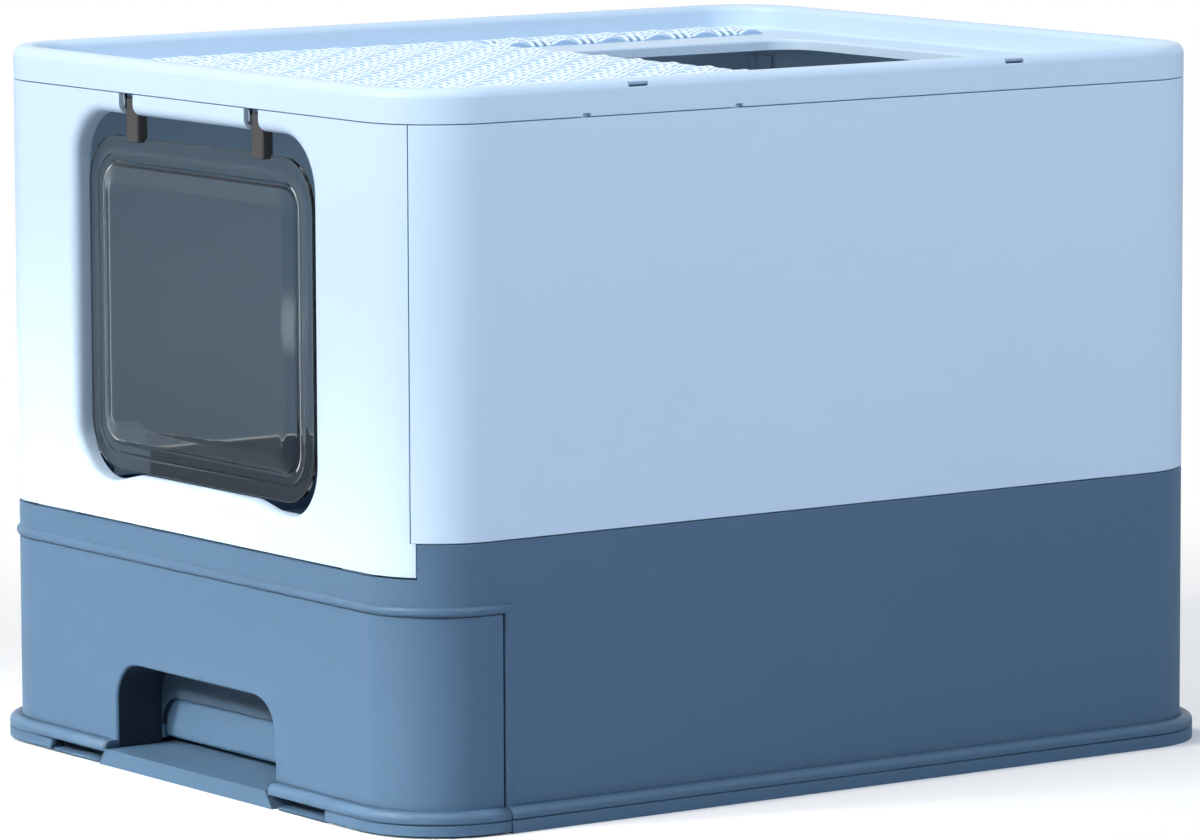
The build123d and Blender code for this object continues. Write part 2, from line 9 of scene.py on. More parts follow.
import logging
import math
from collections.abc import Callable, Sequence
from dataclasses import dataclass
from enum import Enum

import bmesh
import bpy
from mathutils import Matrix, Vector

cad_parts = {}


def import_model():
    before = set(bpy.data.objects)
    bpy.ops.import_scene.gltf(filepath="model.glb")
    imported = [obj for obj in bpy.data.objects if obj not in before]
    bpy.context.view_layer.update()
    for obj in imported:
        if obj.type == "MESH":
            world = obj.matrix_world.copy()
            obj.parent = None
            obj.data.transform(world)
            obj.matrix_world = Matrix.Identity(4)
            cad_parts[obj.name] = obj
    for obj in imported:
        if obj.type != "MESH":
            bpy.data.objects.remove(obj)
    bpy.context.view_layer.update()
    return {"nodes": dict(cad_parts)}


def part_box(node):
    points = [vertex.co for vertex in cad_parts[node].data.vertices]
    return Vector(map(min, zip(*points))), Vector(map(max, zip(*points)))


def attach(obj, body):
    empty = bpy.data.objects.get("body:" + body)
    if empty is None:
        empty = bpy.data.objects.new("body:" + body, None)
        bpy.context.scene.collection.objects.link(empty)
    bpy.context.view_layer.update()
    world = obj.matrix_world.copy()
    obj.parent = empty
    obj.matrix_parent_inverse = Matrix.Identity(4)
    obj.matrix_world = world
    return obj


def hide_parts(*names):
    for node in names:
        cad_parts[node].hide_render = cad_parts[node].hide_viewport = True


log = logging.getLogger("litter_box")

WELD = 1e-6
RIGHT_ANGLE = math.pi / 2
SHARP_ANGLE = 40.0
EDGE_SEGMENTS = 2
NORMAL_WEIGHT = 60
BOTH_SIDES = (-1, 1)
FORWARD = Vector((0, -1, 0))
UPWARD = Vector((0, 0, 1))

Tint = tuple[float, float, float]
Spot = tuple[float, float, float]
Flat = tuple[float, float]


class Body(Enum):
    """Bodies of the box that move as one."""

    CABINET = "cabinet"
    DRAWER = "drawer"
    DOOR = "door"
    LID = "lid"


class Corner(Enum):
    """Corners of the wall plan: sides along X and Y, and the heading where the arc begins."""

    FRONT_RIGHT = (1, -1, 270.0)
    REAR_RIGHT = (1, 1, 0.0)
    REAR_LEFT = (-1, 1, 90.0)
    FRONT_LEFT = (-1, -1, 180.0)


class Side(Enum):
    """Side walls, by their direction along X."""

    LEFT = -1
    RIGHT = 1


class Leaving(Enum):
    """Axis of a profile along which a quarter round leaves its first point."""

    FIRST = 0
    SECOND = 1


@dataclass(frozen=True)
class Mark:
    """Point of a flat path, with the direction that points away from what the path encloses."""

    x: float
    v: float
    nx: float
    nv: float

    def out(self, offset: float) -> Flat:
        """The point moved outwards by an offset."""
        return self.x + self.nx * offset, self.v + self.nv * offset

    def plan(self, inset: float, z: float) -> Vector:
        """Point in space of a plan path, moved inwards by an inset, at a height."""
        x, y = self.out(-inset)
        return Vector((x, y, z))

    def front(self, offset: float, y: float) -> Vector:
        """Point in space of a front-view path, moved outwards by an offset, at a depth."""
        x, z = self.out(offset)
        return Vector((x, y, z))

    @property
    def turn(self) -> float:
        """Angle from the nearer end wall's heading, 0 on the ends and 90 on the sides."""
        return math.degrees(math.acos(min(1.0, abs(self.nv))))


def rounded_loop(half: float, low: float, high: float, radius: float, steps: int) -> list[Mark]:
    """Closed rounded rectangle, counter-clockwise from its lower right corner.

    Args:
        half: Half of its width.
        low: Lower or front edge.
        high: Upper or rear edge.
        radius: Corner radius.
        steps: Facets in each corner.

    Returns:
        The marks of the loop.
    """
    marks = []
    centres = (
        (half - radius, low + radius),
        (half - radius, high - radius),
        (radius - half, high - radius),
        (radius - half, low + radius),
    )
    for quarter, (x, v) in enumerate(centres):
        for step in range(steps + 1):
            heading = (quarter - 1 + step / steps) * RIGHT_ANGLE
            nx, nv = math.cos(heading), math.sin(heading)
            marks.append(Mark(x + radius * nx, v + radius * nv, nx, nv))
    return marks


def rounded_path(knots: Sequence[tuple[float, float, float]], steps: int) -> list[Mark]:
    """Open path through knots, each turned with a radius of its own.

    Args:
        knots: Points of the path, each with its radius.
        steps: Facets to a right angle.

    Returns:
        The marks of the path, whose directions point to the right of travel.
    """
    points = [Vector(knot[:2]) for knot in knots]
    marks = []
    for index, (x, v, radius) in enumerate(knots):
        ahead = (points[min(index + 1, len(points) - 1)] - points[index]).normalized()
        behind = (points[index] - points[max(index - 1, 0)]).normalized()
        if index in (0, len(points) - 1):
            heading = ahead if index == 0 else behind
            marks.append(Mark(x, v, heading.y, -heading.x))
            continue
        bend = math.atan2(behind.cross(ahead), behind.dot(ahead))
        side = math.copysign(1.0, bend)
        start = points[index] - behind * radius * math.tan(abs(bend) / 2)
        centre = start + Vector((-behind.y, behind.x)) * radius * side
        count = max(1, math.ceil(steps * abs(bend) / RIGHT_ANGLE))
        for step in range(count + 1):
            normal = Matrix.Rotation(bend * step / count, 2) @ Vector((behind.y, -behind.x))
            place = centre + normal * radius * side
            marks.append(Mark(place.x, place.y, normal.x, normal.y))
    return marks


def quarter_arc(start: Flat, end: Flat, steps: int, leaving: Leaving) -> list[Flat]:
    """Quarter round between two points of a profile.

    Args:
        start: First point.
        end: Last point.
        steps: Facets in the round.
        leaving: Axis along which the round leaves its first point.

    Returns:
        The points after start, as far as end.
    """
    points = []
    for step in range(1, steps + 1):
        angle = RIGHT_ANGLE * step / steps
        shares = [math.sin(angle), 1 - math.cos(angle)]
        if leaving is Leaving.SECOND:
            shares.reverse()
        points.append(tuple(a + (b - a) * share for a, b, share in zip(start, end, shares)))
    return points


def box_section(near: float, far: float, low: float, high: float) -> tuple[Flat, ...]:
    """Rectangular section between two insets and two heights."""
    return (near, low), (far, low), (far, high), (near, high)


def ring(y: float, z: float, radius: float, facets: int) -> list[Flat]:
    """Circle of points in a side view.

    Args:
        y: Depth of its centre.
        z: Height of its centre.
        radius: Its radius.
        facets: Points on it.

    Returns:
        The depth and height of each point.
    """
    turns = [2 * math.pi * facet / facets for facet in range(facets)]
    return [(y + radius * math.cos(turn), z + radius * math.sin(turn)) for turn in turns]


@dataclass(frozen=True)
class Walls:
    """Plan that the walls follow, and the levels that the pieces share."""

    half_width: float = 0.1985
    half_length: float = 0.2485
    corner_radius: float = 0.043
    thickness: float = 0.0026
    seam: float = 0.0005
    seam_angle: float = 37.0
    tab_angle: float = 41.0
    base_end_top: float = 0.1244
    base_side_top: float = 0.1415
    lid_seam: float = 0.3432
    edge_round: float = 0.0005
    corner_steps: int = 24

    @property
    def panel_top(self) -> float:
        """Top edge of the panels' skins, under the lid."""
        return self.lid_seam - self.seam

    @property
    def gap_angle(self) -> float:
        """Angle that a seam takes up round a corner."""
        return math.degrees(self.seam / self.corner_radius)

    def arc(self, corner: Corner, *angles: float) -> list[Mark]:
        """Stretch of one corner of the plan.

        Args:
            corner: Which corner.
            angles: Angles in degrees from its beginning, each of which gets a mark.

        Returns:
            The marks from the first angle to the last.
        """
        side_x, side_y, begins = corner.value
        centre_x = side_x * (self.half_width - self.corner_radius)
        centre_y = side_y * (self.half_length - self.corner_radius)
        marks: list[Mark] = []
        for first, last in zip(angles, angles[1:]):
            count = max(1, round(self.corner_steps * (last - first) / 90))
            for step in range(1 if marks else 0, count + 1):
                heading = math.radians(begins + first + (last - first) * step / count)
                nx, ny = math.cos(heading), math.sin(heading)
                x, y = centre_x + self.corner_radius * nx, centre_y + self.corner_radius * ny
                marks.append(Mark(x, y, nx, ny))
        return marks

    def side_at(self, side: Side, y: float) -> Mark:
        """Mark on a straight side wall."""
        return Mark(side.value * self.half_width, y, side.value, 0.0)

    def front_at(self, x: float) -> Mark:
        """Mark on the straight front wall."""
        return Mark(x, -self.half_length, 0.0, -1.0)


class Draft:
    """Mesh that is being drawn, before it becomes a piece of the box."""

    def __init__(self) -> None:
        """Starts with nothing drawn."""
        self.bm = bmesh.new()

    def grid(
        self,
        rows: Sequence[Sequence[Vector]],
        closed: bool = False,
        keep: Callable[[int, int], bool] | None = None,
    ) -> list[list[bmesh.types.BMVert]]:
        """Sheet of quads over rows of points.

        Args:
            rows: Points, each row as long as the others.
            closed: Whether the last row joins the first.
            keep: Says which quads stay, by their row and place.

        Returns:
            The vertices in rows, or what is left of them.
        """
        verts = [[self.bm.verts.new(point) for point in row] for row in rows]
        for i in range(len(rows) if closed else len(rows) - 1):
            near, far = verts[i], verts[(i + 1) % len(rows)]
            for j in range(len(near) - 1):
                if keep is None or keep(i, j):
                    self.bm.faces.new((near[j], far[j], far[j + 1], near[j + 1]))
        return verts

    def fill(self, loops: Sequence[Sequence[bmesh.types.BMVert]], normal: Vector) -> None:
        """Flat face between loops of vertices.

        Args:
            loops: The outside first, and then any holes in it.
            normal: Direction that the face looks in.
        """
        edges = []
        for loop in loops:
            for first, last in zip(loop, [*loop[1:], loop[0]]):
                edge = self.bm.edges.get((first, last))
                edges.append(edge if edge else self.bm.edges.new((first, last)))
        made = bmesh.ops.triangle_fill(self.bm, use_beauty=True, normal=normal, edges=edges)
        for item in made["geom"]:
            if isinstance(item, bmesh.types.BMFace):
                item.normal_update()
                if item.normal.dot(normal) < 0:
                    item.normal_flip()

    def cap(self, loop: Sequence[bmesh.types.BMVert], normal: Vector) -> None:
        """One flat face inside a loop of vertices.

        Args:
            loop: Vertices round the face.
            normal: Direction that the face looks in.
        """
        face = self.bm.faces.new(loop)
        face.normal_update()
        if face.normal.dot(normal) < 0:
            face.normal_flip()

    def clean(self) -> None:
        """Welds points that meet and drops points that carry nothing."""
        bmesh.ops.remove_doubles(self.bm, verts=self.bm.verts[:], dist=WELD)
        loose = [vert for vert in self.bm.verts if not vert.link_faces]
        bmesh.ops.delete(self.bm, geom=loose, context="VERTS")

    def thicken(self, thickness: float) -> None:
        """Makes a wall of the sheet drawn so far.

        Args:
            thickness: Thickness of the wall, behind the side that shows.
        """
        self.clean()
        mesh = bpy.data.meshes.new("sheet")
        self.bm.to_mesh(mesh)
        sheet = bpy.data.objects.new("sheet", mesh)
        bpy.context.scene.collection.objects.link(sheet)
        wall = sheet.modifiers.new("wall", "SOLIDIFY")
        wall.thickness = thickness
        wall.offset = -1.0
        wall.use_even_offset = True
        wall.use_quality_normals = True
        depsgraph = bpy.context.evaluated_depsgraph_get()
        solid = bpy.data.meshes.new_from_object(sheet.evaluated_get(depsgraph))
        self.bm.clear()
        self.bm.from_mesh(solid)
        bpy.data.objects.remove(sheet)
        for spent in (mesh, solid):
            bpy.data.meshes.remove(spent)

    def soften(
        self, width: float, angle: float = SHARP_ANGLE, segments: int = EDGE_SEGMENTS
    ) -> None:
        """Rounds the sharp edges drawn so far.

        Args:
            width: Width of each round.
            angle: Angle in degrees beyond which an edge is sharp.
            segments: Facets in each round.
        """
        self.bm.normal_update()
        limit = math.radians(angle)
        sharp = [
            edge
            for edge in self.bm.edges
            if len(edge.link_faces) == 2 and edge.calc_face_angle() > limit
        ]
        bmesh.ops.bevel(
            self.bm,
            geom=sharp,
            offset=width,
            offset_type="OFFSET",
            segments=segments,
            profile=0.5,
            affect="EDGES",
            clamp_overlap=True,
            loop_slide=True,
        )

    def sweep(self, marks: Sequence[Mark], section: Sequence[Flat]) -> None:
        """Closed bar that follows plan marks with a section of insets and heights."""
        self.tube([[mark.plan(*point) for point in section] for mark in marks])

    def prism(self, outline: Sequence[Vector], travel: Vector) -> None:
        """Closed prism with a flat outline, carried along a travel."""
        self.tube([list(outline), [point + travel for point in outline]])

    def tube(self, rows: Sequence[Sequence[Vector]], settle: bool = True) -> None:
        """Closed tube over rows of section points, capped at both ends.

        Args:
            rows: Sections, each with as many points as the others.
            settle: Whether its faces turn outwards now, or later with all the rest.
        """
        verts = [[self.bm.verts.new(point) for point in row] for row in rows]
        faces = [self.bm.faces.new(verts[0]), self.bm.faces.new(verts[-1])]
        for near, far in zip(verts, verts[1:]):
            for j in range(len(near)):
                k = (j + 1) % len(near)
                faces.append(self.bm.faces.new((near[j], far[j], far[k], near[k])))
        if settle:
            bmesh.ops.recalc_face_normals(self.bm, faces=faces)

    def settle(self) -> None:
        """Turns every face drawn so far outwards."""
        bmesh.ops.recalc_face_normals(self.bm, faces=self.bm.faces[:])

    def join(self, other: Draft, material: int = 0) -> None:
        """Adds what another draft has drawn, and ends that draft.

        Args:
            other: The draft to add.
            material: Place of its material in the piece's list.
        """
        for face in other.bm.faces:
            face.material_index = material
        mesh = bpy.data.meshes.new("joined")
        other.bm.to_mesh(mesh)
        other.bm.free()
        self.bm.from_mesh(mesh)
        bpy.data.meshes.remove(mesh)

    def piece(self, name: str, body: Body, finish: Finish, *nodes: str) -> bpy.types.Object:
        """Turns the draft into a piece of the box.

        Args:
            name: Name of the piece.
            body: Body that it rides on.
            finish: What it is made of.
            nodes: Nodes that it stands for.

        Returns:
            The new object.
        """
        mesh = bpy.data.meshes.new(name)
        self.bm.to_mesh(mesh)
        self.bm.free()
        mesh.shade_smooth()
        made = bpy.data.objects.new(name, mesh)
        bpy.context.scene.collection.objects.link(made)
        weighted = made.modifiers.new("even_shading", "WEIGHTED_NORMAL")
        weighted.weight = NORMAL_WEIGHT
        weighted.keep_sharp = True
        mesh.materials.append(finish.material())
        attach(made, body.value)
        if nodes:
            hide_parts(*nodes)
        log.info("%s: %d faces, rides on %s", name, len(mesh.polygons), body.value)
        return made


def new_group(name: str, inputs: dict[str, str], outputs: dict[str, str]) -> bpy.types.NodeTree:
    """Empty shader node group with named sockets.

    Args:
        name: Name of the group.
        inputs: Socket types by name.
        outputs: Socket types by name.

    Returns:
        The group, with its own input and output nodes placed.
    """
    group = bpy.data.node_groups.new(name, "ShaderNodeTree")
    for direction, sockets in (("INPUT", inputs), ("OUTPUT", outputs)):
        for label, kind in sockets.items():
            group.interface.new_socket(label, in_out=direction, socket_type=kind)
    group.nodes.new("NodeGroupInput").name = "ins"
    group.nodes.new("NodeGroupOutput").name = "outs"
    return group


GRAIN_DETAIL = 3.0
CLOUD_DETAIL = 2.0
CLOUD_SCALE = 18.0
NOISE_MIDDLE = 0.5


def moulded_grain() -> bpy.types.NodeTree:
    """Fine grain that a mould leaves: a height for bump and a roughness that drifts.

    Returns:
        The group, made once.
    """
    group = bpy.data.node_groups.get("moulded_grain")
    if group:
        return group
    group = new_group(
        "moulded_grain",
        {"Scale": "NodeSocketFloat", "Roughness": "NodeSocketFloat", "Spread": "NodeSocketFloat"},
        {"Height": "NodeSocketFloat", "Roughness": "NodeSocketFloat"},
    )
    nodes, link = group.nodes, group.links.new
    ins, outs = nodes["ins"], nodes["outs"]
    place = nodes.new("ShaderNodeTexCoord")
    grain = nodes.new("ShaderNodeTexNoise")
    grain.inputs["Detail"].default_value = GRAIN_DETAIL
    cloud = nodes.new("ShaderNodeTexNoise")
    cloud.inputs["Scale"].default_value = CLOUD_SCALE
    cloud.inputs["Detail"].default_value = CLOUD_DETAIL
    centred = nodes.new("ShaderNodeMath")
    centred.operation = "SUBTRACT"
    centred.inputs[1].default_value = NOISE_MIDDLE
    drift = nodes.new("ShaderNodeMath")
    drift.operation = "MULTIPLY_ADD"
    link(place.outputs["Object"], grain.inputs["Vector"])
    link(place.outputs["Object"], cloud.inputs["Vector"])
    link(ins.outputs["Scale"], grain.inputs["Scale"])
    link(cloud.outputs["Fac"], centred.inputs[0])
    link(centred.outputs[0], drift.inputs[0])
    link(ins.outputs["Spread"], drift.inputs[1])
    link(ins.outputs["Roughness"], drift.inputs[2])
    link(grain.outputs["Fac"], outs.inputs["Height"])
    link(drift.outputs[0], outs.inputs["Roughness"])
    return group


def tone_drift() -> bpy.types.NodeTree:
    """Slow drift of a colour's lightness over a moulding.

    Returns:
        The group, made once.
    """
    group = bpy.data.node_groups.get("tone_drift")
    if group:
        return group
    group = new_group(
        "tone_drift",
        {"Color": "NodeSocketColor", "Scale": "NodeSocketFloat", "Spread": "NodeSocketFloat"},
        {"Color": "NodeSocketColor"},
    )
    nodes, link = group.nodes, group.links.new
    ins, outs = nodes["ins"], nodes["outs"]
    place = nodes.new("ShaderNodeTexCoord")
    cloud = nodes.new("ShaderNodeTexNoise")
    cloud.inputs["Detail"].default_value = CLOUD_DETAIL
    centred = nodes.new("ShaderNodeMath")
    centred.operation = "SUBTRACT"
    centred.inputs[1].default_value = NOISE_MIDDLE
    spread = nodes.new("ShaderNodeMath")
    spread.operation = "MULTIPLY_ADD"
    spread.inputs[2].default_value = 1.0
    shade = nodes.new("ShaderNodeHueSaturation")
    link(place.outputs["Object"], cloud.inputs["Vector"])
    link(ins.outputs["Scale"], cloud.inputs["Scale"])
    link(cloud.outputs["Fac"], centred.inputs[0])
    link(centred.outputs[0], spread.inputs[0])
    link(ins.outputs["Spread"], spread.inputs[1])
    link(spread.outputs[0], shade.inputs["Value"])
    link(ins.outputs["Color"], shade.inputs["Color"])
    link(shade.outputs["Color"], outs.inputs["Color"])
    return group


def painted_slope_shade() -> bpy.types.NodeTree:
    """Painted shade: a second colour where a surface turns away from one axis of its object.

    Returns:
        The group, made once.
    """
    group = bpy.data.node_groups.get("painted_slope_shade")
    if group:
        return group
    group = new_group(
        "painted_slope_shade",
        {
            "Color": "NodeSocketColor",
            "Shade": "NodeSocketColor",
            "Axis": "NodeSocketVector",
            "Steep": "NodeSocketFloat",
            "Level": "NodeSocketFloat",
        },
        {"Color": "NodeSocketColor"},
    )
    nodes, link = group.nodes, group.links.new
    ins, outs = nodes["ins"], nodes["outs"]
    place = nodes.new("ShaderNodeTexCoord")
    facing = nodes.new("ShaderNodeVectorMath")
    facing.operation = "DOT_PRODUCT"
    either = nodes.new("ShaderNodeMath")
    either.operation = "ABSOLUTE"
    share = nodes.new("ShaderNodeMapRange")
    mix = nodes.new("ShaderNodeMix")
    mix.data_type = "RGBA"
    link(place.outputs["Normal"], facing.inputs[0])
    link(ins.outputs["Axis"], facing.inputs[1])
    link(facing.outputs["Value"], either.inputs[0])
    link(either.outputs[0], share.inputs["Value"])
    link(ins.outputs["Steep"], share.inputs["From Min"])
    link(ins.outputs["Level"], share.inputs["From Max"])
    link(share.outputs["Result"], mix.inputs["Factor"])
    link(ins.outputs["Shade"], mix.inputs["A"])
    link(ins.outputs["Color"], mix.inputs["B"])
    link(mix.outputs["Result"], outs.inputs["Color"])
    return group


@dataclass(frozen=True)
class PaintedShade:
    """Painted shade that a finish takes where its surface turns away from an axis."""

    shade: Tint
    axis: Spot
    steep: float
    level: float


@dataclass(frozen=True)
class Finish:
    """Moulded plastic: its colour, gloss and grain, and any painted shade on its slopes."""

    name: str
    slot: str
    colour: Tint
    roughness: float
    roughness_spread: float = 0.08
    tone_scale: float = 6.0
    tone_spread: float = 0.05
    grain_scale: float = 1400.0
    grain_depth: float = 0.00002
    grain_strength: float = 0.5
    specular: float = 0.4
    transmission: float = 0.0
    refraction: float = 1.49
    # painted shade where the surface turns away from an axis, if the finish has any
    slope: PaintedShade | None = None

    def material(self) -> bpy.types.Material:
        """The finish as a material.

        Returns:
            The material, made once.
        """
        made = bpy.data.materials.get(self.name)
        if made:
            return made
        made = bpy.data.materials.new(self.name)
        made.use_nodes = True
        nodes, link = made.node_tree.nodes, made.node_tree.links.new
        shader = nodes["Principled BSDF"]
        shader.inputs["Specular IOR Level"].default_value = self.specular
        shader.inputs["Transmission Weight"].default_value = self.transmission
        shader.inputs["IOR"].default_value = self.refraction
        tone = nodes.new("ShaderNodeGroup")
        tone.node_tree = tone_drift()
        tone.inputs["Color"].default_value = (*self.colour, 1.0)
        tone.inputs["Scale"].default_value = self.tone_scale
        tone.inputs["Spread"].default_value = self.tone_spread
        grain = nodes.new("ShaderNodeGroup")
        grain.node_tree = moulded_grain()
        grain.inputs["Scale"].default_value = self.grain_scale
        grain.inputs["Roughness"].default_value = self.roughness
        grain.inputs["Spread"].default_value = self.roughness_spread
        bump = nodes.new("ShaderNodeBump")
        bump.inputs["Distance"].default_value = self.grain_depth
        bump.inputs["Strength"].default_value = self.grain_strength
        shown = tone.outputs["Color"]
        # painted shade: the shade colour is mixed into the base colour where the surface turns from the
        # axis
        if self.slope:
            slope = nodes.new("ShaderNodeGroup")
            slope.node_tree = painted_slope_shade()
            slope.inputs["Shade"].default_value = (*self.slope.shade, 1.0)
            slope.inputs["Axis"].default_value = self.slope.axis
            slope.inputs["Steep"].default_value = self.slope.steep
            slope.inputs["Level"].default_value = self.slope.level
            link(shown, slope.inputs["Color"])
            shown = slope.outputs["Color"]
        link(shown, shader.inputs["Base Color"])
        link(grain.outputs["Roughness"], shader.inputs["Roughness"])
        link(grain.outputs["Height"], bump.inputs["Height"])
        link(bump.outputs["Normal"], shader.inputs["Normal"])
        return made


SHELL = Finish(
    name="shell_light_blue",
    slot="shell_plastic",
    colour=(0.565, 0.71, 0.85),
    roughness=0.42,
)
# Painted light and shade: bar tops whiter than the shell plastic, bar sides painted darker blue by their
# slope.
WEAVE_PAINTED_LIGHT_AND_SHADE = Finish(
    name="weave_painted_light_and_shade",
    slot="shell_plastic",
    colour=(0.80, 0.91, 0.97),
    roughness=0.42,
    slope=PaintedShade(shade=(0.36, 0.53, 0.74), axis=(0.0, 0.0, 1.0), steep=0.45, level=0.88),
)
BASE = Finish(
    name="base_slate_blue",
    slot="base_plastic",
    colour=(0.080, 0.148, 0.230),
    roughness=0.42,
    specular=0.22,
)
# Painted shade: the handle pocket's inside is darker than the base plastic, and its side and top walls
# are painted darker still.
POCKET_PAINTED_SHADE = Finish(
    name="pocket_painted_shade",
    slot="base_plastic",
    colour=(0.044, 0.076, 0.114),
    roughness=0.50,
    specular=0.18,
    slope=PaintedShade(shade=(0.016, 0.029, 0.044), axis=(0.0, 1.0, 0.0), steep=0.30, level=0.90),
)
# Smoked tint of the flap, with painted shade on its steps and shoulder where they turn away from the
# front.
SMOKE_WITH_PAINTED_SHADE = Finish(
    name="door_smoke_painted_step_shade",
    slot="smoke_plastic",
    colour=(0.76, 0.81, 0.79),
    roughness=0.05,
    roughness_spread=0.03,
    tone_spread=0.03,
    grain_depth=0.000004,
    specular=0.5,
    transmission=1.0,
    refraction=1.22,
    slope=PaintedShade(shade=(0.10, 0.11, 0.11), axis=(0.0, 1.0, 0.0), steep=0.82, level=0.93),
)
ARM = Finish(
    name="door_arm_smoke",
    slot="smoke_plastic",
    colour=(0.070, 0.065, 0.063),
    roughness=0.22,
    grain_depth=0.000008,
)


@dataclass
class Panels:
    """Four wall panels that stand on the base under the lid."""

    walls: Walls
    tongue_gap: float = 0.0004
    tongue_thick: float = 0.0020
    tongue_ease: float = 0.0005
    tongue_rise: float = 0.0080
    tongue_root: float = 0.0080
    lap_inner: float = 26.0
    lap_outer: float = 46.0
    lap_clear: float = 1.0
    lap_end: float = 0.0030
    lug_width: float = 0.024
    lug_depth: float = 0.010
    lug_rise: float = 0.016
    lug_drop: float = 0.0115
    lug_gap: float = 0.0008
    lug_soft: float = 0.0012
    peg_radius: float = 0.003
    peg_length: float = 0.005
    peg_drop: float = 0.007
    peg_facets: int = 20
    end_lug: float = 0.142
    side_lug: float = 0.168

    @property
    def peg_inset(self) -> float:
        """Distance of the pegs' axis from a panel's inner face."""
        return (self.lug_depth + self.lug_gap) / 2

    def tongue(self, draft: Draft, marks: Sequence[Mark]) -> None:
        """Rib behind a panel's top edge, and the tongue that it sends up into the lid's rim.

        Args:
            draft: Draft to add them to.
            marks: Plan of the panel's top edge.
        """
        wall = self.walls
        front = wall.thickness + self.tongue_gap
        back = front + self.tongue_thick
        sunk = wall.thickness - self.tongue_gap
        top = wall.panel_top
        draft.sweep(marks, box_section(sunk, back, top - self.tongue_root, top - wall.edge_round))
        low, high = top - self.tongue_root / 2, top + self.tongue_rise
        ease = self.tongue_ease
        section = [(front, low), (back, low), (back, high - ease)]
        section += [(back - ease, high), (front + ease, high), (front, high - ease)]
        draft.sweep(marks, section)

    def lugs(self, draft: Draft, reach: float, place: float, seat: float, turn: float) -> None:
        """Fold-hinge lugs with their pegs behind a panel's lower edge.

        Args:
            draft: Draft to add them to.
            reach: Distance of the panel's face from the middle of the box.
            place: Distance of each lug from the panel's middle.
            seat: Top of the base under the panel.
            turn: Angle in degrees from the front wall to this one.
        """
        wall = self.walls
        inner = wall.thickness - reach
        profile = (
            (inner - self.tongue_gap, seat + wall.seam),
            (inner - self.tongue_gap, seat + self.lug_rise),
            (inner + self.lug_depth, seat + wall.seam),
            (inner + self.lug_depth, seat - self.lug_drop),
            (inner + self.lug_gap, seat - self.lug_drop),
            (inner + self.lug_gap, seat + wall.seam),
        )
        spin = Matrix.Rotation(math.radians(turn), 3, "Z")
        lug = Draft()
        for side in BOTH_SIDES:
            start = side * place - self.lug_width / 2
            outline = [spin @ Vector((start, y, z)) for y, z in profile]
            lug.prism(outline, spin @ Vector((self.lug_width, 0, 0)))
        lug.soften(self.lug_soft)
        peg = ring(inner + self.peg_inset, seat - self.peg_drop, self.peg_radius, self.peg_facets)
        for side in BOTH_SIDES:
            start = side * (place + self.lug_width / 2)
            circle = [spin @ Vector((start, y, z)) for y, z in peg]
            lug.prism(circle, spin @ Vector((side * self.peg_length, 0, 0)))
        draft.join(lug)

    def plain_skin(
        self, marks: Sequence[Mark], levels: Sequence[float], seat_turn: float = math.inf
    ) -> Draft:
        """Skin of a panel with no opening.

        Args:
            marks: Plan of the panel.
            levels: Heights of its tab's foot, if it has one, its seat and its top.
            seat_turn: Turn from the end wall beyond which only the tab is left.

        Returns:
            The skin with its thickness and rounded edges.
        """
        draft = Draft()
        last = len(levels) - 2

        def keep(i: int, j: int) -> bool:
            """Above the seat, only what lies inside the corner seams."""
            return j < last or max(marks[i].turn, marks[i + 1].turn) < seat_turn

        draft.grid([[mark.plan(0, z) for z in levels] for mark in marks], keep=keep)
        draft.thicken(self.walls.thickness)
        draft.soften(self.walls.edge_round)
        return draft

    def build_rear(self) -> bpy.types.Object:
        """Rear panel, with its lower tab that steps round the corners.

        Returns:
            The new piece.
        """
        wall = self.walls
        seam, tab = wall.seam_angle, wall.tab_angle
        marks = [
            *wall.arc(Corner.REAR_RIGHT, 90 - tab, 90 - seam, 90),
            *wall.arc(Corner.REAR_LEFT, 0, seam, tab),
        ]
        levels = (wall.base_end_top + wall.seam, wall.base_side_top + wall.seam, wall.panel_top)
        draft = self.plain_skin(marks, levels, seam + wall.gap_angle / 2)
        upper = [*wall.arc(Corner.REAR_RIGHT, 90 - seam, 90), *wall.arc(Corner.REAR_LEFT, 0, seam)]
        self.tongue(draft, upper)
        self.lugs(draft, wall.half_length, self.end_lug, wall.base_end_top, 180)
        return draft.piece("rear_wall", Body.CABINET, SHELL, "rear_panel")

    def build_side(self, side: Side) -> bpy.types.Object:
        """One side panel with the strips that lap behind the corner seams.

        Args:
            side: Which side.

        Returns:
            The new piece.
        """
        wall = self.walls
        corners = (Corner.REAR_LEFT, Corner.FRONT_LEFT)
        if side is Side.RIGHT:
            corners = (Corner.FRONT_RIGHT, Corner.REAR_RIGHT)
        first = wall.seam_angle + wall.gap_angle
        marks = [*wall.arc(corners[0], first, 90), *wall.arc(corners[1], 0, 90 - first)]
        draft = self.plain_skin(marks, (wall.base_side_top + wall.seam, wall.panel_top))
        self.tongue(draft, marks)
        front = wall.thickness + self.tongue_gap
        back = front + self.tongue_thick
        low = wall.base_side_top + self.lap_end
        high = wall.panel_top - self.tongue_root - self.lap_end
        behind = box_section(front, back, low, high)
        seated = box_section(wall.thickness - self.tongue_gap, back, low, high)
        lap = (self.lap_inner, first + self.lap_clear, self.lap_outer)
        for corner, mirrored in ((corners[0], False), (corners[1], True)):
            angles = [90 - angle for angle in reversed(lap)] if mirrored else list(lap)
            free, held = (angles[1:], angles[:2]) if mirrored else (angles[:2], angles[1:])
            draft.sweep(wall.arc(corner, *free), behind)
            draft.sweep(wall.arc(corner, *held), seated)
        self.lugs(draft, wall.half_width, self.side_lug, wall.base_side_top, side.value * 90)
        name, node = ("left_wall", "left_panel")
        if side is Side.RIGHT:
            name, node = ("right_wall", "right_panel")
        return draft.piece(name, Body.CABINET, SHELL, node)


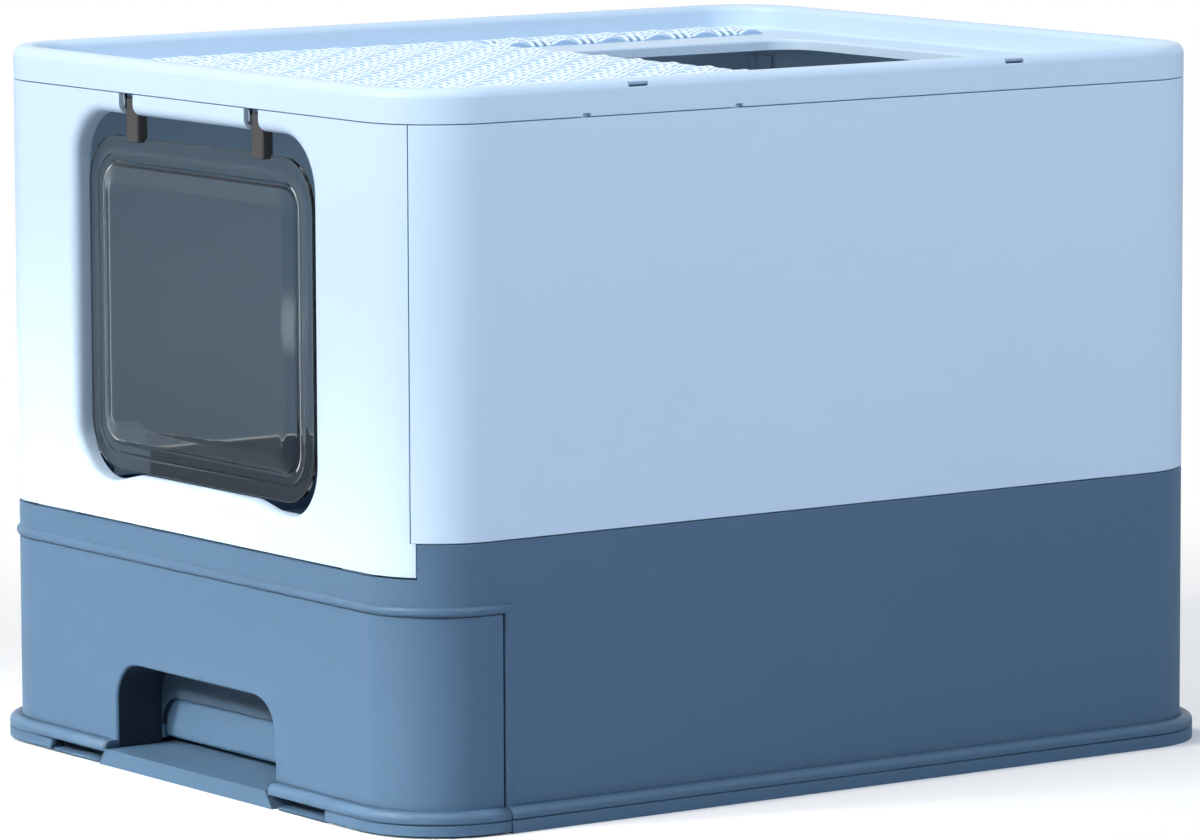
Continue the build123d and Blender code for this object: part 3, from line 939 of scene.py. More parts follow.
@dataclass
class FrontPanel:
    """Front wall panel with the door opening, its rolled edge, its sill and the hinge slots."""

    panels: Panels
    opening_half: float = 0.111
    opening_low: float = 0.145
    opening_high: float = 0.332
    opening_radius: float = 0.028
    edge_round: float = 0.0055
    reveal: float = 0.011
    sill_rise: float = 0.0050
    sill_depth: float = 0.0066
    sill_flat: float = 0.055
    sill_foot: float = 0.078
    sill_blend: float = 0.028
    slot_half: float = 0.0065
    slot_place: float = 0.058
    foot_gap: float = 0.0012
    round_steps: int = 8
    path_steps: int = 16

    def reveal_rows(self, marks: Sequence[Mark]) -> list[list[Vector]]:
        """Rolled edge of the opening and the reveal behind it.

        Args:
            marks: Front view of a stretch of the opening.

        Returns:
            Rows of points, from the panel's face inwards.
        """
        face = -self.panels.walls.half_length
        start = (self.edge_round, 0.0)
        profile = [start, *quarter_arc(start, (0.0, self.edge_round), self.round_steps, Leaving.FIRST)]
        profile.append((0.0, self.sill_depth))
        rows = []
        for mark in marks:
            row = [mark.front(offset, face + depth) for offset, depth in profile]
            on_sill = abs(mark.x) < self.sill_foot + self.edge_round
            on_sill = on_sill and mark.v < self.opening_low + self.sill_rise + WELD
            for depth in (self.sill_depth, self.reveal):
                point = mark.front(0.0, face + depth)
                if on_sill:
                    point.z = self.opening_low
                row.append(point)
            rows.append(row)
        return rows

    def opening_path(self) -> list[Mark]:
        """Front view of the opening, from its left hinge slot round below to its right one.

        Returns:
            The marks of the path.
        """
        half, low, high = self.opening_half, self.opening_low, self.opening_high
        right = (
            (self.sill_flat, low + self.sill_rise, self.sill_blend),
            (self.sill_foot, low, self.sill_blend),
            (half, low, self.opening_radius),
            (half, high, self.opening_radius),
            (self.slot_place + self.slot_half, high, 0),
        )
        left = [(-x, z, radius) for x, z, radius in reversed(right)]
        return rounded_path([*left, *right], self.path_steps)

    def flank(self, draft: Draft, marks: Sequence[Mark]) -> list[list[bmesh.types.BMVert]]:
        """Rounded flank of the panel, with its lower tab.

        Args:
            draft: Draft to add it to.
            marks: Plan of the flank.

        Returns:
            The vertices in rows, each from the foot to the top.
        """
        wall = self.panels.walls
        levels = (wall.base_end_top + self.foot_gap, wall.base_side_top + wall.seam, wall.panel_top)
        limit = wall.seam_angle + wall.gap_angle / 2

        def keep(i: int, j: int) -> bool:
            """Above the seat, only what lies inside the corner seam."""
            return j == 0 or max(marks[i].turn, marks[i + 1].turn) < limit

        return draft.grid([[mark.plan(0, z) for z in levels] for mark in marks], keep=keep)

    def build(self) -> bpy.types.Object:
        """Front panel as one piece.

        Returns:
            The new piece.
        """
        wall = self.panels.walls
        seam, tab = wall.seam_angle, wall.tab_angle
        face, top = -wall.half_length, wall.panel_top
        slot_in, slot_out = self.slot_place - self.slot_half, self.slot_place + self.slot_half
        draft = Draft()
        left = self.flank(draft, wall.arc(Corner.FRONT_LEFT, 90 - tab, 90 - seam, 90))[-1]
        right = self.flank(draft, wall.arc(Corner.FRONT_RIGHT, 0, seam, tab))[0]
        edge = [row[0] for row in draft.grid(self.reveal_rows(self.opening_path()))]
        shoulders = [draft.bm.verts.new((x, face, top)) for x in (slot_out, -slot_out)]
        draft.fill([[*edge, shoulders[0], *reversed(right), *left, shoulders[1]]], FORWARD)
        bridge = rounded_path(((slot_in, self.opening_high, 0), (-slot_in, self.opening_high, 0)), 1)
        edge = [row[0] for row in draft.grid(self.reveal_rows(bridge))]
        ends = [draft.bm.verts.new((x, face, top)) for x in (-slot_in, slot_in)]
        draft.cap([*edge, *ends], FORWARD)
        draft.thicken(wall.thickness)
        draft.soften(wall.edge_round)
        flanks = (
            [*wall.arc(Corner.FRONT_LEFT, 90 - seam, 90), wall.front_at(-slot_out)],
            [wall.front_at(-slot_in), wall.front_at(slot_in)],
            [wall.front_at(slot_out), *wall.arc(Corner.FRONT_RIGHT, 0, seam)],
        )
        for marks in flanks:
            self.panels.tongue(draft, marks)
        self.panels.lugs(draft, wall.half_length, self.panels.end_lug, wall.base_end_top, 0)
        return draft.piece("front_wall", Body.CABINET, SHELL, "front_panel")


@dataclass
class Door:
    """Smoked flap in the front panel: flange, step, sloped shoulder, pane, hinge arms and pins."""

    half_width: float = 0.1035
    low: float = 0.1505
    high: float = 0.3205
    radius: float = 0.026
    face: float = -0.2430
    skin: float = 0.0024
    flange: float = 0.008
    ledge: float = 0.006
    step: float = 0.0007
    step_run: float = 0.0014
    groove: float = 0.0004
    groove_half: float = 0.0007
    shoulder: float = 0.009
    rise: float = 0.0034
    shoulder_ease: float = 0.0012
    least_radius: float = 0.008
    edge_round: float = 0.0007
    edge_angle: float = 60.0
    arm_place: float = 0.058
    arm_half: float = 0.00525
    arm_front: float = -0.2453
    arm_depth: float = 0.0066
    arm_low: float = 0.318
    arm_high: float = 0.3404
    arm_round: float = 0.0012
    arm_segments: int = 3
    pin_radius: float = 0.0022
    pin_reach: float = 0.0045
    hinge_y: float = -0.2421
    hinge_z: float = 0.337
    corner_steps: int = 20
    pin_facets: int = 24

    def profile(self) -> list[Flat]:
        """Section of the flap's front, from its edge to its pane.

        Returns:
            Insets from the edge, each with how far the front stands out there.
        """
        half, ease, cut = self.step_run / 2, self.shoulder_ease, self.groove_half
        foot = self.flange + self.ledge
        slope = self.rise / self.shoulder
        points = [(0.0, 0.0), (self.flange - 2 * half, 0.0), (self.flange - half, 0.0)]
        points += [(self.flange, self.step / 2), (self.flange + half, self.step)]
        points += [(self.flange + 2 * half, self.step), (foot - 2 * cut, self.step)]
        points += [(foot - cut, self.step), (foot, self.step - self.groove)]
        points += [(foot + share * cut, self.step + share * cut * slope) for share in (1, 2)]
        top, crest = foot + self.shoulder, self.step + self.rise
        points += [(top - ease, crest - ease * slope), (top, crest - ease * slope / 4)]
        points += [(top + ease, crest), (top + 2 * ease, crest)]
        return points

    def outline(self, inset: float) -> list[Mark]:
        """Front view of the flap, or of a line inside its edge.

        Args:
            inset: How far the line is drawn in.

        Returns:
            The marks of the loop.
        """
        radius = max(self.radius - inset, self.least_radius)
        half = self.half_width - inset
        return rounded_loop(half, self.low + inset, self.high - inset, radius, self.corner_steps)

    def arms(self) -> Draft:
        """Hinge arms over the flap's top edge, with the pins through them.

        Returns:
            A draft of their own.
        """
        draft = Draft()
        back = self.arm_front + self.arm_depth
        outline = box_section(self.arm_front, back, self.arm_low, self.arm_high)
        for side in BOTH_SIDES:
            start = side * self.arm_place - self.arm_half
            face = [Vector((start, y, z)) for y, z in outline]
            draft.prism(face, Vector((2 * self.arm_half, 0, 0)))
        draft.soften(self.arm_round, segments=self.arm_segments)
        pin = ring(self.hinge_y, self.hinge_z, self.pin_radius, self.pin_facets)
        for side in BOTH_SIDES:
            start = side * self.arm_place - self.arm_half - self.pin_reach
            circle = [Vector((start, y, z)) for y, z in pin]
            draft.prism(circle, Vector((2 * (self.arm_half + self.pin_reach), 0, 0)))
        return draft

    def build(self) -> bpy.types.Object:
        """Flap as one piece.

        Returns:
            The new piece.
        """
        draft = Draft()
        columns = [
            [mark.front(0.0, self.face - stand) for mark in self.outline(inset)]
            for inset, stand in self.profile()
        ]
        verts = draft.grid(list(zip(*columns)), closed=True)
        draft.cap([row[-1] for row in verts], FORWARD)
        draft.thicken(self.skin)
        draft.soften(self.edge_round, angle=self.edge_angle)
        draft.join(self.arms(), material=1)
        flap = draft.piece("smoked_flap", Body.DOOR, SMOKE_WITH_PAINTED_SHADE, "door_flap")
        flap.data.materials.append(ARM.material())
        return flap


@dataclass
class Base:
    """Base shell: walls, plinth, and the bead round the drawer's doorway."""

    walls: Walls
    drawer_top: float = 0.106
    doorway: float = 0.1968
    plinth_out: float = 0.0065
    plinth_top: float = 0.0124
    plinth_round: float = 0.0034
    plinth_steps: int = 6
    groove_low: float = 0.0062
    groove_high: float = 0.0069
    groove_depth: float = 0.0010
    groove_ease: float = 0.0002
    bead_height: float = 0.0046
    bead_stand: float = 0.0016
    bead_sunk: float = 0.0006
    bead_fullness: float = 0.9
    bead_steps: int = 10
    ear_thick: float = 0.003
    ear_gap: float = 0.0005
    ear_radius: float = 0.00625
    ear_steps: int = 12
    floor_soft: float = 0.0005
    floor_weld: float = 0.00001
    toe_lip_ends: tuple[float, float] = (0.0850, 0.1275)
    toe_lip_out: float = 0.0052
    toe_lip_top: float = 0.0018
    seam_back: float = 0.0010

    def foot_band(self, low: float) -> list[Flat]:
        """Section of the plinth's foot band, as far up as the shadow groove over it.

        Args:
            low: Height of its foot.

        Returns:
            Insets and heights.
        """
        out, ease = -self.plinth_out, self.groove_ease
        deep = self.groove_depth - self.plinth_out
        inner = self.walls.thickness / 2
        return [
            (inner, low),
            (out + ease, low),
            (out, low + ease),
            (out, self.groove_low - ease),
            (out + ease, self.groove_low),
            (deep, self.groove_low),
            (deep, self.groove_high),
            (inner, self.groove_high),
        ]

    def upper_band(self, low: float) -> list[Flat]:
        """Section of the plinth's rounded upper band.

        Args:
            low: Height of its lower edge.

        Returns:
            Insets and heights.
        """
        out, ease = -self.plinth_out, self.groove_ease
        start = (out, self.plinth_top - self.plinth_round)
        end = (out + self.plinth_round, self.plinth_top)
        shoulder = quarter_arc(start, end, self.plinth_steps, Leaving.SECOND)
        inner = self.walls.thickness / 2
        edge = min(low + ease, start[1])
        return [(inner, low), (out + ease, low), (out, edge), start, *shoulder, (inner, self.plinth_top)]

    def shell_marks(self) -> list[Mark]:
        """Plan of the whole base.

        Returns:
            The marks, with some at the doorway's ends and at the panels' tabs.
        """
        wall = self.walls
        tab = wall.tab_angle + wall.gap_angle
        rear = self.bead_height - self.doorway
        return [
            *wall.arc(Corner.FRONT_RIGHT, 0, tab, 90),
            wall.side_at(Side.RIGHT, -self.doorway),
            wall.side_at(Side.RIGHT, rear),
            *wall.arc(Corner.REAR_RIGHT, 0, 90 - tab, 90),
            *wall.arc(Corner.REAR_LEFT, 0, tab, 90),
            wall.side_at(Side.LEFT, rear),
            wall.side_at(Side.LEFT, -self.doorway),
            *wall.arc(Corner.FRONT_LEFT, 0, 90 - tab, 90),
        ]

    def bead(self, draft: Draft) -> None:
        """Half-round bead over the drawer and down both edges of its doorway.

        Args:
            draft: Draft to add it to.
        """
        wall = self.walls
        half = self.bead_height / 2
        level = self.drawer_top + wall.seam + half
        foot = self.plinth_top - half
        place = half - self.doorway
        first, last = wall.side_at(Side.RIGHT, place), wall.side_at(Side.LEFT, place)
        bends = [
            *reversed(wall.arc(Corner.FRONT_RIGHT, 0, 90)),
            *reversed(wall.arc(Corner.FRONT_LEFT, 0, 90)),
        ]
        along = Vector((0, 1, 0))
        path = [(first, foot, along), (first, level, UPWARD + along)]
        path += [(mark, level, UPWARD) for mark in bends]
        path += [(last, level, UPWARD + along), (last, foot, along)]
        turns = [math.pi * (1 - step / self.bead_steps) for step in range(self.bead_steps + 1)]
        crown = [
            (half * math.cos(turn), self.bead_stand * math.sin(turn) ** self.bead_fullness)
            for turn in turns
        ]
        section = [(-half, -self.bead_sunk), *crown, (half, -self.bead_sunk)]
        rows = [
            [mark.plan(-stand, z) + across * shift for shift, stand in section]
            for mark, z, across in path
        ]
        draft.tube(rows)

    def toe_lips(self, draft: Draft) -> None:
        """Low lips that show in the toe notches beside the tongue.

        Args:
            draft: Draft to add them to.
        """
        near, far = self.toe_lip_ends
        front = -self.walls.half_length - self.toe_lip_out
        rear = self.walls.thickness - self.walls.half_length + self.seam_back
        for side in BOTH_SIDES:
            outline = [
                Vector((side * x, y, 0.0))
                for x, y in ((near, front), (far, front), (far, rear), (near, rear))
            ]
            draft.prism(outline, Vector((0, 0, self.toe_lip_top)))

    def ears(self, draft: Draft, panels: Panels) -> None:
        """Ears inside the walls that hold the pegs of the panels' fold hinges.

        Args:
            draft: Draft to add them to.
            panels: Panels whose pegs they hold.
        """
        wall = self.walls
        places = (
            (wall.half_length, panels.end_lug, wall.base_end_top, (0, 180)),
            (wall.half_width, panels.side_lug, wall.base_side_top, (90, -90)),
        )
        radius = self.ear_radius
        bends = [math.pi * step / self.ear_steps - RIGHT_ANGLE for step in range(self.ear_steps + 1)]
        for reach, place, seat, turns in places:
            inner = wall.thickness - reach
            peg_y = inner + panels.peg_inset
            axis = seat - panels.peg_drop
            rim = [(peg_y + radius * math.cos(bend), axis + radius * math.sin(bend)) for bend in bends]
            sunk = inner - panels.tongue_gap
            outline = [(sunk, axis - radius), *rim, (sunk, axis + radius)]
            start = place + panels.lug_width / 2 + self.ear_gap
            for turn in turns:
                spin = Matrix.Rotation(math.radians(turn), 3, "Z")
                for side in BOTH_SIDES:
                    face = [spin @ Vector((side * start, y, z)) for y, z in outline]
                    draft.prism(face, spin @ Vector((side * self.ear_thick, 0, 0)))

    def build(self, panels: Panels) -> bpy.types.Object:
        """Base shell as one piece.

        Args:
            panels: Panels that stand on it.

        Returns:
            The new piece.
        """
        wall = self.walls
        marks = self.shell_marks()
        levels = (0.0, self.drawer_top + wall.seam, wall.base_end_top, wall.base_side_top)
        tab = wall.tab_angle + wall.gap_angle / 2

        def keep(i: int, j: int) -> bool:
            """Leaves out the drawer's doorway and the notches for the end panels' tabs.

            Args:
                i: Place of a quad round the plan.
                j: Its place up the wall.

            Returns:
                Whether the quad stays.
            """
            pair = (marks[i], marks[(i + 1) % len(marks)])
            if j == 0:
                return min(mark.v for mark in pair) > -self.doorway - WELD
            return j == 1 or min(mark.turn for mark in pair) > tab

        draft = Draft()
        draft.grid([[mark.plan(0, z) for z in levels] for mark in marks], closed=True, keep=keep)
        draft.thicken(wall.thickness)
        draft.soften(wall.edge_round)
        run = [
            wall.side_at(Side.RIGHT, -self.doorway),
            *wall.arc(Corner.REAR_RIGHT, 0, 90),
            *wall.arc(Corner.REAR_LEFT, 0, 90),
            wall.side_at(Side.LEFT, -self.doorway),
        ]
        draft.sweep(run, self.foot_band(0.0))
        draft.sweep(run, self.upper_band(self.groove_high))
        self.toe_lips(draft)
        self.bead(draft)
        self.ears(draft, panels)
        return draft.piece("base_shell", Body.CABINET, BASE, "base_frame")

    def dress_floor(self, node: bpy.types.Object) -> None:
        """Gives the base floor, which keeps its own mesh, rounded edges and the base's finish.

        Args:
            node: The floor as the frame gives it.
        """
        weld = node.modifiers.new("weld", "WELD")
        weld.merge_threshold = self.floor_weld
        bevel = node.modifiers.new("soft_edges", "BEVEL")
        bevel.width = self.floor_soft
        bevel.segments = EDGE_SEGMENTS
        bevel.limit_method = "ANGLE"
        bevel.angle_limit = math.radians(SHARP_ANGLE)
        weighted = node.modifiers.new("even_shading", "WEIGHTED_NORMAL")
        weighted.weight = NORMAL_WEIGHT
        node.data.materials.clear()
        node.data.materials.append(BASE.material())
        log.info("%s: keeps its mesh", node.name)


@dataclass
class Drawer:
    """Drawer front with its handle pocket, and the litter tray behind it."""

    walls: Walls
    base: Base
    foot: float = 0.001
    top: float = 0.106
    edge: float = 0.1976
    handle_half: float = 0.074
    handle_top: float = 0.053
    handle_round: float = 0.020
    pocket_depth: float = 0.027
    pocket_foot: float = 0.0088
    arch_top: float = 0.0335
    arch_round: float = 0.016
    tongue_side: float = 0.0772
    toe_out: float = 0.1285
    toe_top: float = 0.0062
    lip_round: float = 0.0014
    lip_steps: int = 3
    tray_half: float = 0.184
    tray_front: float = -0.2185
    tray_rear: float = 0.2319
    tray_radius: float = 0.038
    tray_floor: float = 0.0134
    tray_top: float = 0.103
    tray_wall: float = 0.0024
    tray_lip: float = 0.005
    tray_soft: float = 0.0007
    roll_steps: int = 4
    floor_round: float = 0.0006
    floor_steps: int = 6
    skid_half: float = 0.004
    skid_round: float = 0.0036
    skid_steps: int = 6
    skid_place: float = 0.120
    skid_end: float = 0.040
    skid_low: float = 0.0088
    web_place: float = 0.140
    path_steps: int = 12

    def handle_path(self, top: float, radius: float, foot: float) -> list[Mark]:
        """Front view of an opening as wide as the handle, with rounded upper corners.

        Args:
            top: Height of its upper edge.
            radius: Radius of its upper corners.
            foot: Height of its foot.

        Returns:
            The marks from its right foot to its left.
        """
        half = self.handle_half
        knots = ((half, foot, 0), (half, top, radius), (-half, top, radius), (-half, foot, 0))
        return rounded_path(knots, self.path_steps)

    def build_front(self) -> bpy.types.Object:
        """Drawer front: skin that wraps both corners, plinth bands, handle and its pocket.

        Returns:
            The new piece.
        """
        wall = self.walls
        face = -wall.half_length
        draft = Draft()
        levels = (self.foot, self.top)
        left_marks = [wall.side_at(Side.LEFT, -self.edge), *wall.arc(Corner.FRONT_LEFT, 0, 90)]
        right_marks = [*wall.arc(Corner.FRONT_RIGHT, 0, 90), wall.side_at(Side.RIGHT, -self.edge)]
        left = draft.grid([[mark.plan(0, z) for z in levels] for mark in left_marks])[-1]
        right = draft.grid([[mark.plan(0, z) for z in levels] for mark in right_marks])[0]
        path = self.handle_path(self.handle_top, self.handle_round, self.pocket_foot)
        lip, deep = self.lip_round, self.pocket_depth
        turn = quarter_arc((lip, 0.0), (0.0, lip), self.lip_steps, Leaving.FIRST)
        profile = [(lip, 0.0), *turn, (0.0, deep)]
        pocket = draft.grid(
            [[mark.front(offset, face + depth) for offset, depth in profile] for mark in path]
        )
        corners = [
            (self.tongue_side, self.pocket_foot),
            (self.tongue_side, self.toe_top),
            (self.toe_out, self.toe_top),
            (self.toe_out, self.foot),
        ]
        feet_left = [draft.bm.verts.new((-x, face, z)) for x, z in corners]
        feet_right = [draft.bm.verts.new((x, face, z)) for x, z in reversed(corners)]
        loop = [*(row[0] for row in pocket), *feet_left, left[0], left[1], right[1], right[0]]
        draft.fill([[*loop, *feet_right]], FORWARD)
        arch = self.handle_path(self.arch_top, self.arch_round, self.pocket_foot)
        tips = [draft.bm.verts.new(mark.front(0.0, face + deep)) for mark in arch[1:-1]]
        upper = [row[-1] for row in pocket[1:-1]]
        draft.fill([[*upper, *reversed(tips)]], FORWARD)
        draft.thicken(wall.thickness)
        draft.soften(wall.edge_round)
        # Faces inside the handle pocket take the second material, which paints shade there.
        for inside in draft.bm.faces:
            spot = inside.calc_center_median()
            if abs(spot.x) < self.tongue_side and spot.y > face + wall.thickness:
                inside.material_index = 1
        self.front_plinth(draft)
        made = draft.piece("drawer_face", Body.DRAWER, BASE, "drawer_front")
        made.data.materials.append(POCKET_PAINTED_SHADE.material())
        return made

    def front_plinth(self, draft: Draft) -> None:
        """Plinth bands on the drawer front, cut away for the handle, the tongue and the toe notches.

        Args:
            draft: Draft to add them to.
        """
        wall = self.walls
        foot = self.base.foot_band(self.foot)
        upper = self.base.upper_band(self.base.groove_high)
        trimmed = self.base.upper_band(self.pocket_foot)
        bends = {
            Side.LEFT: wall.arc(Corner.FRONT_LEFT, 0, 90)[::-1],
            Side.RIGHT: wall.arc(Corner.FRONT_RIGHT, 0, 90),
        }
        places = (self.handle_half, self.tongue_side, self.toe_out)
        for side, bend in bends.items():
            run = [*bend, wall.side_at(side, -self.edge)]
            handle, tongue, toe = (wall.front_at(side.value * x) for x in places)
            draft.sweep([handle, tongue], trimmed)
            draft.sweep([tongue, toe, *run], upper)
            draft.sweep([toe, *run], foot)

    def webs(self, draft: Draft) -> None:
        """Webs that tie the tray to the drawer front.

        Args:
            draft: Draft to add them to.
        """
        wall, floor = self.tray_wall, self.tray_floor
        rear = self.tray_front + wall / 2
        front = self.walls.thickness - self.walls.half_length
        pocket = self.pocket_depth - self.walls.half_length
        beside = self.handle_half + wall / 2
        for side in BOTH_SIDES:
            for place, start in ((self.web_place, front), (beside, pocket)):
                x = side * place - wall / 2
                outline = box_section(start, rear, floor - wall, self.tray_top - wall)
                draft.prism([Vector((x, y, z)) for y, z in outline], Vector((wall, 0, 0)))

    def skids(self, draft: Draft) -> None:
        """Skids that the tray slides on.

        Args:
            draft: Draft to add them to.
        """
        ends = (self.tray_front + self.skid_end, self.tray_rear - self.skid_end)
        loop = rounded_loop(self.skid_half, *ends, self.skid_round, self.skid_steps)
        rise = Vector((0, 0, self.tray_floor - self.tray_wall / 2 - self.skid_low))
        for side in BOTH_SIDES:
            shift = Vector((side * self.skid_place, 0, 0))
            draft.prism([mark.plan(0, self.skid_low) + shift for mark in loop], rise)

    def build_tray(self) -> bpy.types.Object:
        """Litter tray with its turned-out lip, its skids and the webs to the drawer front.

        Returns:
            The new piece.
        """
        draft = Draft()
        loop = rounded_loop(
            self.tray_half, self.tray_front, self.tray_rear, self.tray_radius, self.path_steps
        )
        wall, top, floor = self.tray_wall, self.tray_top, self.tray_floor
        start, end = (wall, floor + self.floor_round), (wall + self.floor_round, floor)
        roll = quarter_arc((0.0, top), (wall, top - wall), self.roll_steps, Leaving.FIRST)
        bend = quarter_arc(start, end, self.floor_steps, Leaving.SECOND)
        profile = [(-self.tray_lip, top), (0.0, top), *roll, start, *bend]
        verts = draft.grid([[mark.plan(*point) for point in profile] for mark in loop], closed=True)
        draft.cap([row[-1] for row in verts], UPWARD)
        draft.thicken(wall)
        draft.soften(self.tray_soft)
        self.webs(draft)
        self.skids(draft)
        return draft.piece("litter_pan", Body.DRAWER, BASE, "litter_tray")


@dataclass(frozen=True)
class Field:
    """Field of weave on the lid's deck: its piece, its node, its cells and its first corner."""

    name: str
    node: str
    columns: int
    rows: int
    x: float
    y: float


@dataclass
class Lid:
    """Lid: rolled rim, sunk deck, entry hole with its collar, and the woven grates."""

    walls: Walls
    top: float = 0.360
    rim_width: float = 0.012
    outer_round: float = 0.005
    inner_round: float = 0.0036
    foot_round: float = 0.0015
    deck_top: float = 0.347
    entry_half: float = 0.106
    entry_front: float = 0.040
    entry_rear: float = 0.206
    entry_radius: float = 0.020
    collar_drop: float = 0.0058
    collar_round: float = 0.0015
    window_half: float = 0.006
    window_place: float = 0.116
    pry_half: float = 0.00225
    pry_height: float = 0.0016
    pry_places: tuple[float, float] = (-0.147, -0.056)
    cell: float = 0.0155
    bar_width: float = 0.0031
    bar_low: float = 0.0008
    bar_high: float = 0.0033
    bar_round: float = 0.0008
    bar_steps: int = 6
    ledge: float = 0.0035
    border: float = 0.003
    bar_places: tuple[int, ...] = (-1, 0, 1)
    window_rows: tuple[int, int] = (3, 4)
    rim_steps: int = 6
    foot_steps: int = 4
    path_steps: int = 20

    def profile(self) -> list[Flat]:
        """Section of the rim from its seam to the deck.

        Returns:
            Insets and heights.
        """
        inner, steps = self.rim_width, self.rim_steps
        rise = (0.0, self.top - self.outer_round)
        crest = (inner - self.inner_round, self.top)
        fall = (inner, self.deck_top + self.foot_round)
        foot = (inner + self.foot_round, self.deck_top)
        points = [(0.0, self.walls.lid_seam), (0.0, self.walls.lid_seam + self.pry_height), rise]
        points += quarter_arc(rise, (self.outer_round, self.top), steps, Leaving.SECOND)
        points.append(crest)
        points += quarter_arc(crest, (inner, self.top - self.inner_round), steps, Leaving.FIRST)
        points.append(fall)
        points += quarter_arc(fall, foot, self.foot_steps, Leaving.SECOND)
        return points

    def rim_marks(self) -> list[Mark]:
        """Plan of the rim.

        Returns:
            The marks, with some at the ends of the windows and pry notches.
        """
        wall = self.walls
        cuts = [place + side * self.pry_half for place in self.pry_places for side in BOTH_SIDES]
        cuts += [
            place + side * self.window_half
            for place in (-self.window_place, self.window_place)
            for side in BOTH_SIDES
        ]
        return [
            *wall.arc(Corner.FRONT_RIGHT, 0, 90),
            *(wall.side_at(Side.RIGHT, y) for y in sorted(cuts)),
            *wall.arc(Corner.REAR_RIGHT, 0, 90),
            *wall.arc(Corner.REAR_LEFT, 0, 90),
            *wall.arc(Corner.FRONT_LEFT, 0, 90),
        ]

    def grate_fields(self) -> list[Field]:
        """Fields of weave round the entry hole.

        Returns:
            The fields, each as large as its node.
        """
        fields = []
        for name, node in (
            ("front_weave", "front_grate"),
            ("left_weave", "left_grate"),
            ("right_weave", "right_grate"),
        ):
            low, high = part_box(node)
            columns = round((high.x - low.x - 2 * self.border) / self.cell)
            rows = round((high.y - low.y - 2 * self.border) / self.cell)
            fields.append(Field(name, node, columns, rows, low.x + self.border, low.y + self.border))
        return fields

    def build_cover(self) -> bpy.types.Object:
        """Rim, deck and collar as one shell.

        Returns:
            The new piece.
        """
        marks = self.rim_marks()
        profile = self.profile()

        def keep(i: int, j: int) -> bool:
            """Leaves out the windows high on the right rim and the notches in its seam.

            Args:
                i: Place of a quad round the plan.
                j: Its place along the section.

            Returns:
                Whether the quad stays.
            """
            pair = (marks[i], marks[(i + 1) % len(marks)])
            if min(mark.nx for mark in pair) < 1.0:
                return True
            middle = (pair[0].v + pair[1].v) / 2
            if j in self.window_rows:
                return abs(abs(middle) - self.window_place) > self.window_half
            near = min(abs(middle - place) for place in self.pry_places)
            return j > 0 or near > self.pry_half

        draft = Draft()
        rows = [[mark.plan(*point) for point in profile] for mark in marks]
        rim = [row[-1] for row in draft.grid(rows, closed=True, keep=keep)]
        loop = rounded_loop(
            self.entry_half, self.entry_front, self.entry_rear, self.entry_radius, self.path_steps
        )
        start, end = (-self.collar_round, self.deck_top), (0.0, self.deck_top - self.collar_round)
        collar = [start, *quarter_arc(start, end, self.foot_steps, Leaving.FIRST)]
        collar.append((0.0, self.deck_top - self.collar_drop))
        rows = [[mark.plan(*point) for point in collar] for mark in loop]
        hole = [row[0] for row in draft.grid(rows, closed=True)]
        holes = [hole]
        for field in self.grate_fields():
            near_x, near_y = field.x + self.ledge, field.y + self.ledge
            far_x = field.x + field.columns * self.cell - self.ledge
            far_y = field.y + field.rows * self.cell - self.ledge
            spots = ((near_x, near_y), (far_x, near_y), (far_x, far_y), (near_x, far_y))
            holes.append([draft.bm.verts.new((*spot, self.deck_top)) for spot in spots])
        draft.fill([rim, *holes], UPWARD)
        draft.thicken(self.walls.thickness)
        draft.soften(self.walls.edge_round)
        return draft.piece("lid_shell", Body.LID, SHELL, "lid_cover")

    def build_grates(self) -> list[bpy.types.Object]:
        """Grates of three arched bars to a cell, turned by a quarter from cell to cell.

        Returns:
            The new pieces.
        """
        pitch = self.cell / len(self.bar_places)
        reach = self.cell + pitch - self.bar_width
        along_x, along_y = Vector((1, 0, 0)), Vector((0, 1, 0))
        made = []
        for field in self.grate_fields():
            draft = Draft()
            for column in range(field.columns):
                for row in range(field.rows):
                    level = (column + row) % 2 == 0
                    place, last = (column, field.columns - 1) if level else (row, field.rows - 1)
                    length = self.cell if place in (0, last) else reach
                    along, across = (along_x, along_y) if level else (along_y, along_x)
                    x = field.x + (column + 0.5) * self.cell
                    y = field.y + (row + 0.5) * self.cell
                    for bar in self.bar_places:
                        centre = Vector((x, y, 0)) + across * bar * pitch
                        self.bar(draft, centre, along * length, across)
            draft.settle()
            # The weave's finish paints light on the bar tops and shade on their sides.
            made.append(draft.piece(field.name, Body.LID, WEAVE_PAINTED_LIGHT_AND_SHADE, field.node))
        return made

    def bar(self, draft: Draft, centre: Vector, along: Vector, across: Vector) -> None:
        """One bar of a grate, which arches up from the deck and back.

        Args:
            draft: Draft to add it to.
            centre: Its middle, in plan.
            along: Its length and direction.
            across: Direction over its width.
        """
        half, ease = self.bar_width / 2, self.bar_round
        deck = centre + self.deck_top * UPWARD
        rows = []
        for step in range(self.bar_steps + 1):
            share = 2 * step / self.bar_steps - 1
            top = self.bar_low + (self.bar_high - self.bar_low) * (1 - share * share)
            ease_here = min(ease, top)
            section = ((-half, 0.0), (-half, top - ease_here), (-half + ease, top))
            section += ((half - ease, top), (half, top - ease_here), (half, 0.0))
            spot = deck + along * (share / 2)
            rows.append([spot + across * side + rise * UPWARD for side, rise in section])
        draft.tube(rows, settle=False)


BOX_MIDDLE: Spot = (0.0, 0.0, 0.190)


@dataclass(frozen=True)
class Lamp:
    """Soft area lamp: where it stands round the box, its face and its light."""

    name: str
    azimuth: float
    elevation: float
    distance: float
    size: tuple[float, float]
    power: float
    colour: Tint = (1.0, 1.0, 1.0)
    aim: Spot = BOX_MIDDLE
    spread: float = 180.0


